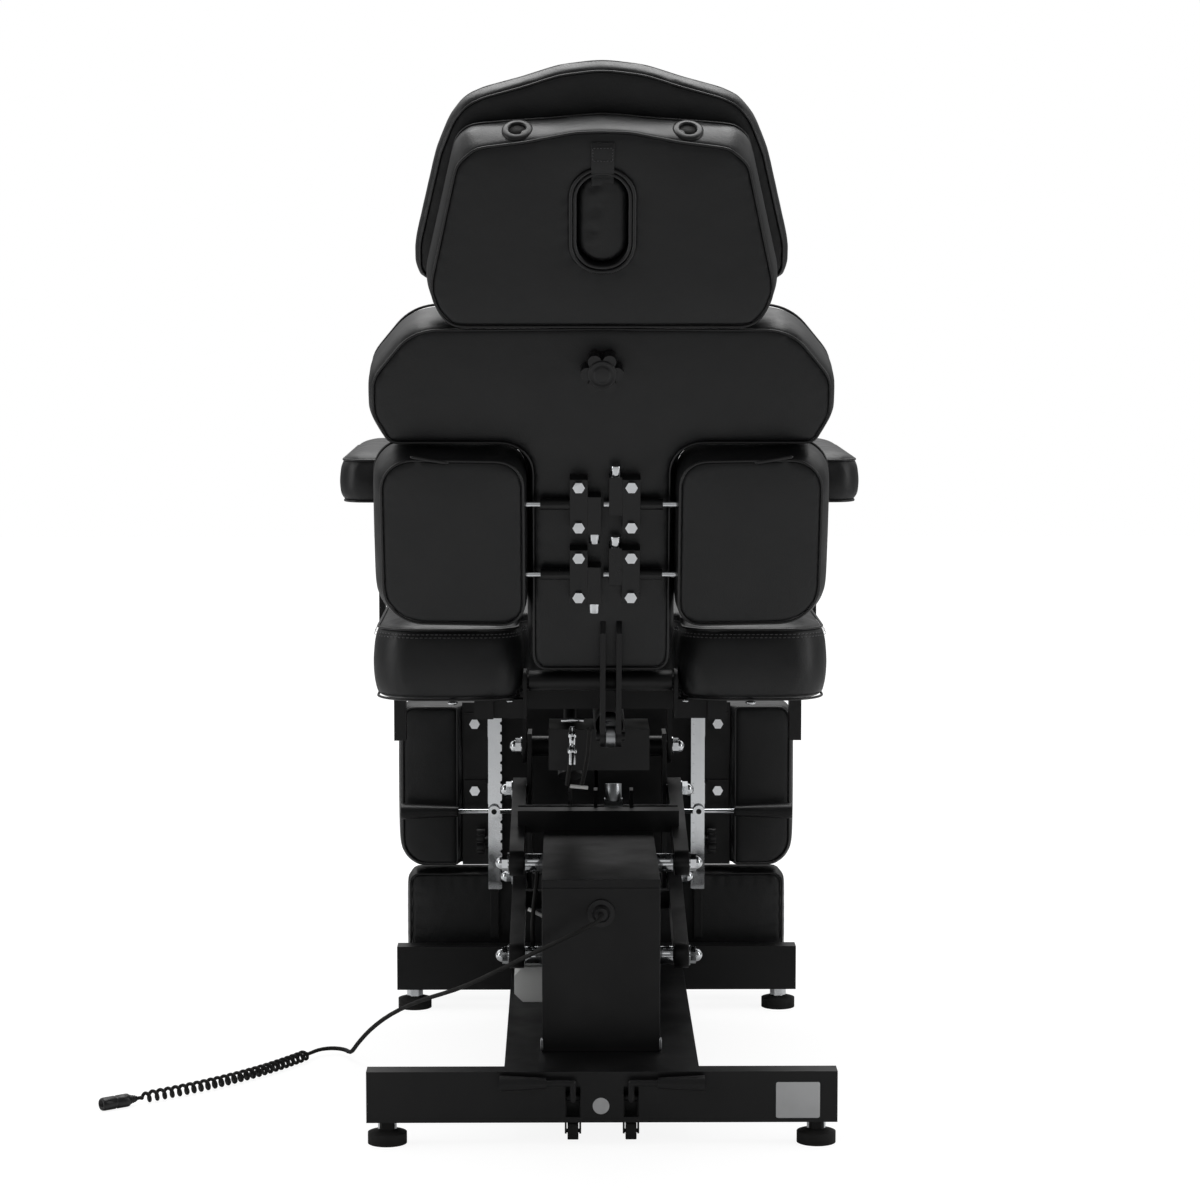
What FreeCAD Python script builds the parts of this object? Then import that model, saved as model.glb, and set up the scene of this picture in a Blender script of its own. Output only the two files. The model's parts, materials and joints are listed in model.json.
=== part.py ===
"""Electric tattoo chair, seen from behind in the photograph.

The sitter faces +Y and +X is the sitter's right. Lengths are millimetres and angles are degrees.
Places along Y are written from the rear face of the rear beam, and each node is moved back by
origin_from_rear, so that the origin lies on the floor under the middle of the chair.
"""
import FreeCAD, Part
import math
import os
import re
import Sketcher
from FreeCAD import Placement, Rotation, Vector

os.makedirs("parts", exist_ok=True)
doc = FreeCAD.newDocument("TattooChair")
sheet = doc.addObject("Spreadsheet::Sheet", "Sizes")

# Driving sizes: name, value, meaning
SIZES = [
    ("origin_from_rear", 417.4, "rear face of the rear beam to the origin"),
    ("run_gap", 0.05, "radial gap of a running fit"),
    ("soft_gap", 0.4, "gap between a cushion and its neighbour"),
    ("side_gap", 1, "gap beside a swinging plate"),
    ("overrun", 4, "how far a cutting tool runs past the metal"),
    # Shares of the cushions' levels
    ("foot_share", 0.07, "share of a band where its lower edge has turned out"),
    ("draw_share", 0.3, "share of the draw-in left at that level"),
    ("low_share", 0.22, "share of a band where it begins to swell"),
    ("half_share", 0.5, "half of a bulge, draw-in, depth or crown"),
    ("swell_share", 0.55, "share of a band where it swells most"),
    ("seam_share", 0.85, "share of a band where it is drawn in to the seam"),
    ("crown_start_share", 0.45, "share of the crown near the seam"),
    ("crown_end_share", 0.82, "share of the crown near its top"),
    ("reach_start_share", 0.22, "share of the inset near the seam"),
    ("reach_end_share", 0.55, "share of the inset near the top"),
    ("side_share", 0.45, "longest share of a side that a round corner takes"),
    ("tight_share", 0.7, "tight corner beside a common one"),
    ("tightest_share", 0.4, "tightest corner beside a common one"),
    ("wide_share", 1.6, "wide corner beside a common one"),
    ("spread_share", 1.2, "inset of a side pad's crown beside its corner"),
    ("round_share", 0.95, "corner of the face plug beside its half width"),
    ("plug_share", 0.6, "inset of the face plug's crown beside its half width"),
    ("wrap_share", 0.2, "draw-in left where a cushion wraps its board"),
    ("nose_share", 0.7, "small end of a tapering nose"),
    ("collar_share", 1.5, "collar beside its post"),
    ("neck_share", 1.6, "neck of a side knob beside its stem"),
    ("tip_share", 0.8, "lever plate beside the bolt, along Y"),
    ("tip_rise_share", 0.6, "lever plate beside the bolt, along Z"),
    ("hub_share", 0.9, "lever plate on the hinge tube"),
    ("hub_drop_share", 0.4, "lever plate below the middle of the hinge tube"),
    ("block_share", 0.75, "clamp side block past the middle of the plate"),
    ("sleeve_share", 1.4, "cord end of the plug's sleeve beside the cord"),
    ("arc_share", 0.45, "share of a straight run that a bend of the cord takes"),
    # Base
    ("beam_length", 600, "length of the rear and front floor beams"),
    ("beam_depth", 30, "beam section along Y"),
    ("beam_height", 66, "beam section along Z"),
    ("beam_wall", 3, "wall of the beam tube"),
    ("beam_bottom", 29, "underside of the beams above the floor"),
    ("beam_pitch", 783, "rear face of the rear beam to that of the front beam"),
    ("slot_offset", 37, "pedal slots, from the middle of the beam"),
    ("slot_width", 19, "width of a pedal slot"),
    ("slot_bottom", 36, "lower end of a pedal slot"),
    ("slot_height", 40, "height of a pedal slot"),
    ("wheel_bay_width", 24, "opening for the wheel fork under the beam"),
    ("channel_width", 250, "folded channel between the beams"),
    ("channel_top", 92, "top face of the channel"),
    ("channel_height", 45, "depth of the channel's side folds"),
    ("channel_wall", 4, "sheet of the channel"),
    ("column_width", 154, "column casing across"),
    ("column_length", 370, "column casing along Y"),
    ("column_rear", 120, "rear face of the column casing"),
    ("column_top", 309, "upper edge of the column casing"),
    ("column_wall", 4, "sheet of the column casing"),
    ("lid_height", 11, "folded lid on the column"),
    ("lid_wall", 3, "sheet of the lid"),
    ("gland_radius", 18, "flange of the cable gland"),
    ("gland_flange", 4, "thickness of the gland's flange"),
    ("gland_nose_radius", 12, "nose of the cable gland"),
    ("gland_nose", 8, "length of the gland's nose"),
    ("gland_centre", 276, "height of the cable gland"),
    ("housing_width", 41, "control housing beside the column"),
    ("housing_length", 74, "control housing along Y"),
    ("housing_height", 50, "height of the control housing"),
    ("housing_front", 490, "front face of the control housing"),
    ("housing_chamfer", 12, "chamfer on the control housing"),
    # Levelling feet
    ("foot_inset", 26, "levelling feet from the ends of a beam"),
    ("foot_radius", 25, "rubber disc of a foot"),
    ("foot_height", 14, "straight part of the rubber disc"),
    ("foot_shoulder", 4, "tapered top of the rubber disc"),
    ("foot_nut_radius", 12, "hexagon nut over the disc, across corners"),
    ("foot_stem_radius", 6, "threaded stem of a foot"),
    ("foot_stem_length", 48, "stem above the disc"),
    # Rear pedals with their wheels
    ("pedal_axis_z", 58, "pedal shaft above the floor"),
    ("pedal_axis_y", 15, "pedal shaft from the beam's rear face"),
    ("pedal_shaft_radius", 5, "pedal shaft"),
    ("pedal_shaft_length", 24, "pedal shaft across"),
    ("pedal_rod_radius", 4, "bent pedal rod"),
    ("pedal_rod_reach", 12, "rod behind the beam's rear face"),
    ("pedal_rod_z", 62, "height of the rod in the slot"),
    ("pedal_grip_z", 83, "height of the grip"),
    ("pedal_grip_start", 71, "inner end of the grip from the middle"),
    ("pedal_grip_length", 59, "length of the grip"),
    ("pedal_grip_radius", 10, "thick end of the grip"),
    ("pedal_grip_neck", 7, "thin end of the grip"),
    ("fork_plate", 2.5, "thickness of a fork plate"),
    ("fork_plate_width", 8, "width of a fork plate"),
    ("wheel_radius", 11.5, "transport wheel"),
    ("wheel_width", 14, "transport wheel across"),
    ("wheel_axle_radius", 2.5, "wheel axle"),
    ("wheel_axle_y", 7, "wheel axle from the beam's rear face"),
    ("wheel_axle_z", 17, "wheel axle above the floor"),
    # Lift linkage
    ("post_pivot_y", 400, "fixed pivots of the lift arms"),
    ("lower_pivot_z", 162, "height of the lower fixed pivot"),
    ("pivot_rise", 130, "upper pivots above the lower ones"),
    ("arm_reach", 334, "length of a lift arm between its pivots"),
    ("lift_angle", 8.6, "rise of the arms at rest"),
    ("arm_height", 36, "depth of a lift arm"),
    ("arm_thickness", 20, "thickness of a lift arm"),
    ("arm_inner", 104, "inner face of an arm from the middle"),
    ("shaft_radius", 8, "pivot shafts"),
    ("boss_radius", 13, "boss between column and arm"),
    ("cross_tube_radius", 15, "cross tube of the lower arms"),
    ("cross_tube_reach", 235, "cross tube from the fixed pivot"),
    ("head_bar_radius", 8, "bar of the upper arms that the lift motor pushes"),
    ("head_bar_reach", 171, "that bar from the fixed pivot"),
    ("head_bar_angle", 7.1, "that bar above the line of the arm"),
    ("yoke_bar_gap", 44, "flat bar of the upper arms behind the motor's bar"),
    ("yoke_bar_depth", 18, "flat bar along the arms"),
    ("yoke_bar_height", 32, "flat bar across the arms"),
    ("yoke_bar_rise", 3, "middle of the flat bar above the motor's bar"),
    ("yoke_half_gap", 23, "cheek from the middle of the lift motor"),
    ("yoke_plate", 5, "thickness of a cheek"),
    ("yoke_front", 14, "cheek before the motor's bar"),
    ("yoke_head", 34, "cheek above the motor's bar"),
    ("nut_radius", 12, "hexagon of a dome nut, across corners"),
    ("nut_height", 8, "hexagon height of a dome nut"),
    ("dome_radius", 9, "dome of a dome nut"),
    ("washer_radius", 14, "washer under a dome nut"),
    ("washer_height", 2, "thickness of that washer"),
    ("nut_gap", 0.3, "gap between washer and arm"),
    # Carriage
    ("carriage_plate", 6, "thickness of a carriage plate"),
    ("carriage_plate_width", 56, "carriage plate along Y"),
    ("carriage_plate_foot", 24, "plate below the lower pivot"),
    ("carriage_plate_head", 22, "plate above the seat hinge"),
    ("carriage_side", 102, "outer face of a carriage plate"),
    ("tie_tube_depth", 40, "rectangular cross tube along Y"),
    ("tie_tube_height", 33, "rectangular cross tube along Z"),
    ("tie_tube_bottom", 284, "underside of the rectangular cross tube"),
    ("tie_tube_wall", 3, "wall of the rectangular cross tube"),
    ("seat_hinge_z", 407, "height of the seat's tilt hinge"),
    ("seat_hinge_tube_radius", 15, "round cross tube on the tilt hinge"),
    # Lift motor
    ("motor_x", 22, "middle of the lift motor from the middle"),
    ("motor_tail_y", 541, "tail pin of the lift motor"),
    ("motor_tail_z", 128, "height of that tail pin"),
    ("motor_pin_radius", 6, "tail pin"),
    ("motor_eye_radius", 13, "tail eye"),
    ("motor_eye_width", 31, "tail eye across"),
    ("motor_tube_radius", 19, "outer tube of the lift motor"),
    ("motor_neck_radius", 15, "foot of the lift motor between its ears"),
    ("motor_tube_start", 14, "foot of the outer tube from the tail pin"),
    ("motor_tube_length", 136, "length of the outer tube"),
    ("motor_can_radius", 16, "motor can beside the tube"),
    ("motor_can_length", 84, "length of the motor can"),
    ("motor_can_offset", 32, "motor can beside the tube's axis"),
    ("motor_rod_radius", 12, "push rod"),
    ("motor_rod_start", 22, "lower end of the push rod from the tail pin"),
    ("motor_head_wall", 4.5, "wall of the push rod's eye"),
    ("motor_head_gap", 5.5, "free gap in that eye"),
    ("motor_head_width", 26, "push rod's eye across"),
    ("motor_head_rise", 38, "push rod above the middle of its eye"),
    ("ear_plate", 5, "thickness of an ear plate"),
    # Seat
    ("seat_half_width", 298, "half the seat across"),
    ("seat_rear", 170, "rear edge of the seat"),
    ("seat_front", 785, "front edge of the seat"),
    ("seat_bottom", 546, "underside of the seat cushion"),
    ("seat_band", 86, "height of the seat's side band"),
    ("seat_crown", 15, "crown of the seat"),
    ("notch_half_width", 104, "half the rear notch of the seat"),
    ("notch_depth", 108, "depth of that notch"),
    ("seat_corner", 26, "rear corners of the seat"),
    ("seat_front_corner", 60, "front corners of the seat"),
    ("notch_corner", 18, "corners of the notch"),
    ("band_draw", 7, "how far a cushion is drawn in at its lower edge"),
    ("band_bulge", 2, "how far the side band swells"),
    ("frame_tube", 25, "square tube of the seat frame"),
    ("frame_rail_x", 141, "inner face of a frame rail"),
    ("frame_rear", 190, "rear end of the frame rails"),
    ("frame_front", 770, "front end of the frame rails"),
    ("frame_rear_bar", 292, "rear cross bar of the frame"),
    ("frame_mid_bar", 588, "middle cross bar of the frame"),
    ("hinge_plate_width", 50, "tilt hinge plates along Y"),
    ("hinge_plate", 6, "thickness of a tilt hinge plate"),
    # Tilt motor
    ("tilt_x", -40, "middle of the tilt motor"),
    ("tilt_pin_y", 600, "upper pin of the tilt motor"),
    ("tilt_pin_z", 506, "height of that pin"),
    ("tilt_pin_radius", 5, "that pin"),
    ("tilt_rod_radius", 9, "tilt motor's rod"),
    ("tilt_rod_length", 90, "length of that rod"),
    ("tilt_bore_gap", 1.5, "gap round that rod"),
    ("tilt_tube_radius", 17, "tilt motor's tube"),
    ("tilt_tube_start", 58, "mouth of that tube from the upper pin"),
    ("tilt_tube_length", 74, "length of that tube"),
    ("tilt_angle", 12, "largest tilt of the seat"),
    # Backrest
    ("back_hinge_y", 212, "hinge of the backrest"),
    ("back_hinge_z", 570, "height of that hinge"),
    ("recline", 18, "recline of the backrest at rest"),
    ("back_half_depth", 45, "half the thickness of the backrest"),
    ("back_crown", 8, "crown of the backrest's front"),
    ("spine_half_width", 94, "half the spine across"),
    ("spine_bottom", 30, "lower end of the spine above the hinge"),
    ("wing_bottom", 345, "lower edge of the upper part above the hinge"),
    ("wing_half_width", 295, "half the upper part across"),
    ("wing_shoulder", 440, "start of its sloping shoulders above the hinge"),
    ("wing_top", 509, "upper edge at the corners above the hinge"),
    ("back_top", 511, "upper edge in the middle above the hinge"),
    ("wing_lower_corner", 22, "inset of the lower outer corners"),
    ("wing_upper_corner", 55, "inset of the upper outer corners"),
    ("back_corner", 24, "corner radius of the backrest"),
    ("ear_outer", 102, "outer face of a hinge ear"),
    ("back_tube_radius", 14, "hinge tube of the backrest"),
    ("back_tube_half", 94, "half that hinge tube across"),
    ("back_pin_radius", 7, "hinge pins of the backrest"),
    ("lever_x", 13, "middle of the lever plates"),
    ("lever_half_gap", 7, "half the gap between the lever plates"),
    ("lever_plate", 7, "thickness of a lever plate"),
    ("lever_radius", 80, "lever from the hinge to its bolt"),
    ("lever_angle", 30, "lever behind the vertical at rest"),
    ("lever_tip_radius", 14, "round end of a lever plate"),
    ("lever_top", 108, "upper end of the lever plates above the hinge"),
    ("lever_back", 14, "lever plates behind the spine's rear face"),
    ("lever_bolt_radius", 6, "bolt of the lever"),
    # Back motor
    ("back_rod_radius", 10, "rod of the back motor"),
    ("back_rod_length", 205, "length of that rod"),
    ("back_bore_gap", 8.6, "free gap round that rod"),
    ("back_tube_wall", 2.5, "wall of the back motor's tube"),
    ("back_tube_start", 300, "mouth of that tube"),
    ("back_tube_length", 313, "length of that tube"),
    ("back_motor_z", 497.6, "height of that tube"),
    ("back_box_width", 139, "gear box of the back motor across"),
    ("back_box_height", 57, "height of that gear box"),
    ("back_box_length", 110, "that gear box along Y"),
    ("back_box_rear", 400, "rear face of that gear box"),
    ("back_box_bottom", 421, "underside of that gear box"),
    # Side pads
    ("rod_low", 176.5, "lower pad rods above the hinge"),
    ("rod_pitch", 97, "upper pad rods above the lower ones"),
    ("rod_back", 11, "pad rods behind the spine's rear face"),
    ("pad_rod_radius", 4, "pad rods"),
    ("sleeve_radius", 7.2, "clamp sleeves"),
    ("sleeve_end", 78, "outer end of a sleeve"),
    ("rod_tip", 3, "inner end of a pad rod"),
    ("rod_in_pad", 60, "how deep a pad rod sits in its pad"),
    ("pad_inner", 98.7, "inner face of a side pad"),
    ("pad_outer", 291, "outer face of a side pad"),
    ("pad_bottom", 106, "lower edge of a side pad above the hinge"),
    ("pad_top", 341, "upper edge of a side pad above the hinge"),
    ("pad_rear", 80, "rear face of a side pad behind the hinge"),
    ("pad_front", 2, "front face of a side pad before the hinge"),
    ("pad_crown", 6, "crown of a side pad"),
    ("pad_corner", 34, "corner radius of a side pad"),
    ("clamp_height", 74, "tall clamp plate"),
    ("clamp_width", 23, "tall clamp plate across"),
    ("clamp_inner", 22, "inner edge of a tall clamp plate from the middle of the clamps"),
    ("clamp_shift", 4.5, "middle of the clamps beside the middle of the backrest"),
    ("clamp_bolt_pitch", 55, "bolts of a clamp plate apart"),
    ("clamp_depth", 20, "clamp plate off the spine"),
    ("clamp_side_width", 17, "clamp side block across"),
    ("clamp_side_height", 52, "clamp side block"),
    ("clamp_side_depth", 19, "clamp side block off the spine"),
    ("hex_radius", 8, "hexagon bolt head, across corners"),
    ("hex_height", 5, "hexagon bolt head"),
    ("screw_radius", 7, "clamp screw head"),
    ("screw_height", 14, "clamp screw head"),
    # Headrest
    ("knob_z", 454.5, "star knob above the hinge"),
    ("knob_radius", 27, "star knob"),
    ("knob_height", 20, "star knob"),
    ("knob_lobe_radius", 8.5, "one lobe of the star knob"),
    ("knob_collar_radius", 21, "collar behind the star knob"),
    ("knob_collar", 7, "height of that collar"),
    ("knob_stem_radius", 5, "stem of the star knob"),
    ("bar_half_width", 25, "half the headrest bar across"),
    ("bar_thickness", 8, "headrest bar"),
    ("bar_bottom", 365, "lower end of the headrest bar"),
    ("bar_pocket_gap", 0.5, "gap round the bar in the backrest"),
    ("yoke_half_width", 112, "half the plate between the head pads"),
    ("yoke_bottom", 532, "lower edge of that plate"),
    ("yoke_top", 744, "upper edge of that plate"),
    ("head_depth", 66, "thickness of the face cushion"),
    ("head_bottom", 516, "lower edge of the face cushion"),
    ("head_top", 758, "upper edge of the face cushion at its corners"),
    ("head_top_middle", 772, "upper edge of the face cushion in the middle"),
    ("head_half_bottom", 194, "half its lower edge"),
    ("head_half_width", 223, "half its widest part"),
    ("head_half_top", 176, "half its upper edge"),
    ("head_widest", 562, "its widest part above the hinge"),
    ("head_corner", 28, "its corner radius"),
    ("hole_z", 652, "middle of the face hole"),
    ("hole_half_width", 31, "half the face hole across"),
    ("hole_half_height", 57, "half the height of the face hole"),
    ("window_rim", 14, "yoke window outside the face hole"),
    ("plug_depth", 54, "thickness of the face plug"),
    ("plug_side_gap", 1.5, "gap round the face plug"),
    ("plug_recess", 4, "plug behind the cushion's rear face"),
    ("arch_depth", 46, "thickness of the arched pad"),
    ("arch_bottom", 546, "lower edge of the arched pad"),
    ("arch_wide", 590, "its widest part above the hinge"),
    ("arch_shoulder_rise", 126, "its shoulder above the widest part"),
    ("arch_upper_rise", 64, "its upper corner above the shoulder"),
    ("arch_bow_rise", 25, "its bow above the upper corner"),
    ("arch_top_rise", 23, "its peak above the bow"),
    ("arch_half_width", 233, "half its widest part"),
    ("arch_half_shoulder", 204, "half its shoulder"),
    ("arch_half_upper", 177, "half its upper corners"),
    ("arch_half_bow", 98, "half its bow"),
    ("arch_corner", 26, "its corner radius"),
    ("arch_mouth_half", 58, "half the mouth of the arched pad"),
    ("arch_mouth_top", 706, "upper end of that mouth"),
    # Armrests
    ("armrest_post_x", 308, "armrest post from the middle"),
    ("armrest_post_y", 600, "armrest post from the rear"),
    ("armrest_post_radius", 10, "armrest post"),
    ("armrest_bar", 8, "thickness of the upright bar"),
    ("armrest_bar_width", 40, "upright bar along Y"),
    ("armrest_bar_top", 778, "upper end of the upright bar"),
    ("armrest_bottom", 797, "underside of the armrest"),
    ("armrest_height", 56, "band of the armrest"),
    ("armrest_crown", 8, "crown of the armrest"),
    ("armrest_half_width", 40, "half the armrest across"),
    ("armrest_rear", 300, "rear end of the armrest"),
    ("armrest_length", 390, "length of the armrest"),
    ("armrest_corner", 20, "corner radius of the armrest"),
    ("armrest_socket", 22, "depth of the post's socket"),
    ("armrest_tab_x", 275, "hanging socket of the armrest from the middle"),
    ("armrest_tab", 17, "that socket across"),
    ("armrest_tab_width", 30, "that socket along Y"),
    ("armrest_tab_height", 85, "that socket along Z"),
    # Leg rests
    ("leg_hinge_y", 818, "hinge of the leg rests"),
    ("leg_hinge_z", 500, "height of that hinge"),
    ("leg_pin_radius", 6, "hinge pin of a leg rest"),
    ("leg_lug_radius", 14, "lug of a leg rest"),
    ("leg_lug", 8, "thickness of that lug"),
    ("rail_x", 154, "middle of the ratchet rail"),
    ("rail_width", 18, "ratchet rail across"),
    ("rail_wall", 2.5, "wall of the ratchet rail"),
    ("rail_rear", 818, "rear face of the ratchet rail"),
    ("rail_bottom", 176, "lower end of the ratchet rail"),
    ("rail_top", 476, "upper end of the ratchet rail"),
    ("board_inner", 2.6, "inner edge of the leg board"),
    ("board_outer", 203, "outer edge of the leg board"),
    ("board_rear", 851, "rear face of the leg board"),
    ("board_thickness", 12, "leg board"),
    ("board_bottom", 208, "lower edge of the leg board"),
    ("board_top", 456, "upper edge of the leg board"),
    ("leg_pad_depth", 56, "leg cushion before its board"),
    ("leg_pad_outer", 298, "outer edge of the leg cushion"),
    ("leg_pad_back", 26, "outer part of the leg cushion behind the board's front"),
    ("leg_crown", 8, "crown of the leg and foot cushions"),
    ("leg_corner", 22, "corner radius of the leg and foot cushions"),
    ("bracket_z", 322, "leg bracket above the floor"),
    ("bracket_height", 32, "height of the leg bracket"),
    ("bracket_width", 37, "leg bracket across"),
    ("bracket_plate", 4, "thickness of the leg bracket"),
    ("release_z", 296, "release lever above the floor"),
    ("release_inner", 128, "inner end of the release rod"),
    ("release_grip_start", 208, "inner end of the release grip"),
    ("release_grip_end", 294, "outer end of the release grip"),
    ("release_rod_radius", 4, "release rod"),
    ("release_hub_radius", 9, "hub of the release lever"),
    ("release_hub_depth", 11, "depth of that hub"),
    ("release_pin_radius", 4, "pivot pin of the release lever"),
    ("release_grip_neck", 8, "thin end of the release grip"),
    ("release_grip_radius", 12, "thick end of the release grip"),
    ("side_knob_z", 248, "star knob of the leg extension"),
    ("side_knob_radius", 19.5, "that star knob"),
    ("side_knob_height", 12, "that star knob along X"),
    ("side_knob_stem", 5, "neck of that star knob"),
    ("side_knob_lobe_radius", 6, "one lobe of that star knob"),
    ("foot_bar_width", 12, "extension bar"),
    ("foot_bar_bottom", 100, "lower end of the extension bar"),
    ("foot_bar_top", 420, "upper end of the extension bar"),
    ("foot_plate_height", 62, "plate between extension bar and foot pad"),
    ("foot_pad_inner", 20, "inner edge of the foot pad"),
    ("foot_pad_outer", 286, "outer edge of the foot pad"),
    ("foot_pad_bottom", 50, "lower edge of the foot pad"),
    ("foot_pad_top", 196, "upper edge of the foot pad"),
    ("foot_pad_rear", 840, "rear face of the foot pad"),
    ("foot_pad_depth", 74, "thickness of the foot pad"),
    # Cord
    ("cord_radius", 3, "half the cord's diameter"),
    ("curl_radius", 6, "middle line of the curls"),
    ("curl_wire_radius", 2.4, "cord in the curls"),
    ("curl_pitch", 12, "pitch of the curls"),
    ("plug_radius", 9, "plug on the cord's end"),
    ("plug_length", 42, "length of that plug"),
    ("plug_collar_radius", 7, "sleeve of that plug"),
    ("plug_collar_length", 12, "length of that sleeve"),
    ("plug_floor_gap", 0.2, "plug above the floor"),
]

for row, (alias, value, meaning) in enumerate(SIZES, start=1):
    sheet.set(f"A{row}", alias)
    sheet.set(f"B{row}", str(value))
    sheet.setAlias(f"B{row}", alias)
    sheet.set(f"C{row}", meaning)
doc.recompute()

ALIASES = {alias for alias, value, meaning in SIZES}
X_AXIS, Y_AXIS, Z_AXIS = Vector(1, 0, 0), Vector(0, 1, 0), Vector(0, 0, 1)
TURN_TO = {"X": Rotation(Y_AXIS, 90), "Y": Rotation(X_AXIS, -90), "Z": Rotation()}
FLIP_TO = {"X": Rotation(Y_AXIS, -90), "Y": Rotation(X_AXIS, 90), "Z": Rotation(X_AXIS, 180)}
nodes = {}
counts = {}


class Sizes:
    """Gives each size of the sheet as a plain number."""

    def __getattr__(self, alias):
        return float(sheet.get(alias))


v = Sizes()


def bound(text):
    """Turns the bare names in an expression into references to the sheet."""
    return re.sub(r"[a-z_]+", lambda m: f"Sizes.{m.group()}" if m.group() in ALIASES else m.group(), text)


def tie(thing, prop, text):
    """Binds one property to an expression of named sizes."""
    thing.setExpression(prop, bound(text))


def new(kind, name):
    """Adds an object with a name of its own."""
    counts[name] = counts.get(name, 0) + 1
    return doc.addObject(kind, f"{name}_{counts[name]}")


def put(thing, at):
    """Binds the place of an object."""
    for axis, text in zip("xyz", at):
        tie(thing, f"Placement.Base.{axis}", text)
    return thing


def block(name, length, depth, height, at):
    """A box from its corner with the smallest coordinates."""
    thing = new("Part::Box", name)
    for prop, text in (("Length", length), ("Width", depth), ("Height", height)):
        tie(thing, prop, text)
    return put(thing, at)


def bar(name, axis, radius, length, at):
    """A round bar that starts at a point and runs along an axis; a leading minus turns it round."""
    thing = new("Part::Cylinder", name)
    tie(thing, "Radius", radius)
    tie(thing, "Height", length)
    thing.Placement.Rotation = FLIP_TO[axis[1]] if axis[0] == "-" else TURN_TO[axis]
    return put(thing, at)


def taper(name, axis, first, second, length, at):
    """A cone frustum along an axis."""
    thing = new("Part::Cone", name)
    tie(thing, "Radius1", first)
    tie(thing, "Radius2", second)
    tie(thing, "Height", length)
    thing.Placement.Rotation = FLIP_TO[axis[1]] if axis[0] == "-" else TURN_TO[axis]
    return put(thing, at)


def ball(name, radius, at):
    """A full ball."""
    thing = new("Part::Sphere", name)
    tie(thing, "Radius", radius)
    return put(thing, at)


def hexagon(name, axis, radius, length, at):
    """A hexagon prism along an axis."""
    thing = new("Part::Prism", name)
    thing.Polygon = 6
    tie(thing, "Circumradius", radius)
    tie(thing, "Height", length)
    thing.Placement.Rotation = FLIP_TO[axis[1]] if axis[0] == "-" else TURN_TO[axis]
    return put(thing, at)


def join(name, things):
    """One solid from several that meet."""
    thing = new("Part::MultiFuse", name)
    thing.Shapes = things
    return thing


def cut(name, base, tools):
    """A solid less its tools."""
    thing = new("Part::Cut", name)
    thing.Base = base
    thing.Tool = tools[0] if len(tools) == 1 else join(f"{name}_tools", tools)
    return thing


def node(name, things, at=("0", "0", "0"), angle=None):
    """A named sub-part: its solids, its place from the rear beam and its turn about X."""
    thing = doc.addObject("Part::Compound", name)
    thing.Links = things
    thing.Label = name
    if angle is not None:
        thing.Placement.Rotation = Rotation(X_AXIS, 1)
        tie(thing, "Placement.Rotation.Angle", angle)
    put(thing, (at[0], f"{at[1]} - origin_from_rear", at[2]))
    nodes[name] = thing
    return thing


def shaped(name, shape):
    """A feature whose shape is made from points of named sizes."""
    thing = new("Part::Feature", name)
    thing.Shape = shape
    return thing


def plane_of(body, role):
    """Finds one of a body's origin planes."""
    return next(plane for plane in body.Origin.OriginFeatures if plane.Role == role)


def padded_outline(name, points, thickness, role="YZ_Plane"):
    """A plate whose corners lie at bound places in one of its body's planes."""
    body = new("PartDesign::Body", name)
    sketch = body.newObject("Sketcher::SketchObject", f"{body.Name}_sketch")
    sketch.AttachmentSupport = [(plane_of(body, role), "")]
    sketch.MapMode = "FlatFace"
    doc.recompute()
    guess = [(number(a), number(b)) for a, b in points]
    for i, start in enumerate(guess):
        end = guess[(i + 1) % len(guess)]
        sketch.addGeometry(Part.LineSegment(Vector(*start, 0), Vector(*end, 0)))
    for i in range(len(points)):
        following = (i + 1) % len(points)
        sketch.addConstraint(Sketcher.Constraint("Coincident", i, 2, following, 1))
    for i, (a, b) in enumerate(points):
        for kind, text, value in (("DistanceX", a, guess[i][0]), ("DistanceY", b, guess[i][1])):
            index = sketch.addConstraint(Sketcher.Constraint(kind, -1, 1, i, 1, value))
            tie(sketch, f"Constraints[{index}]", text)
    pad = body.newObject("PartDesign::Pad", f"{body.Name}_pad")
    pad.Profile = sketch
    tie(pad, "Length", thickness)
    return body


def number(text):
    """The value of an expression of named sizes now."""
    probe = doc.getObject("Probe") or doc.addObject("App::FeaturePython", "Probe")
    if not hasattr(probe, "Value"):
        probe.addProperty("App::PropertyFloat", "Value")
    tie(probe, "Value", text)
    probe.recompute()
    result = probe.Value
    probe.setExpression("Value", None)
    return result


def offset_points(points, inset):
    """Moves each side of a closed outline inwards and meets the sides again."""
    count = len(points)
    area = sum(points[i][0] * points[(i + 1) % count][1] - points[(i + 1) % count][0] * points[i][1]
               for i in range(count))
    inward = 1 if area > 0 else -1
    moved = []
    for i in range(count):
        before, here, after = points[i - 1], points[i], points[(i + 1) % count]
        d1 = (here[0] - before[0], here[1] - before[1])
        d2 = (after[0] - here[0], after[1] - here[1])
        l1, l2 = math.hypot(*d1), math.hypot(*d2)
        n1 = (-d1[1] / l1 * inward, d1[0] / l1 * inward)
        n2 = (-d2[1] / l2 * inward, d2[0] / l2 * inward)
        scale = 1 + n1[0] * n2[0] + n1[1] * n2[1]
        moved.append((here[0] + inset * (n1[0] + n2[0]) / scale,
                      here[1] + inset * (n1[1] + n2[1]) / scale, inward))
    return moved


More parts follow.
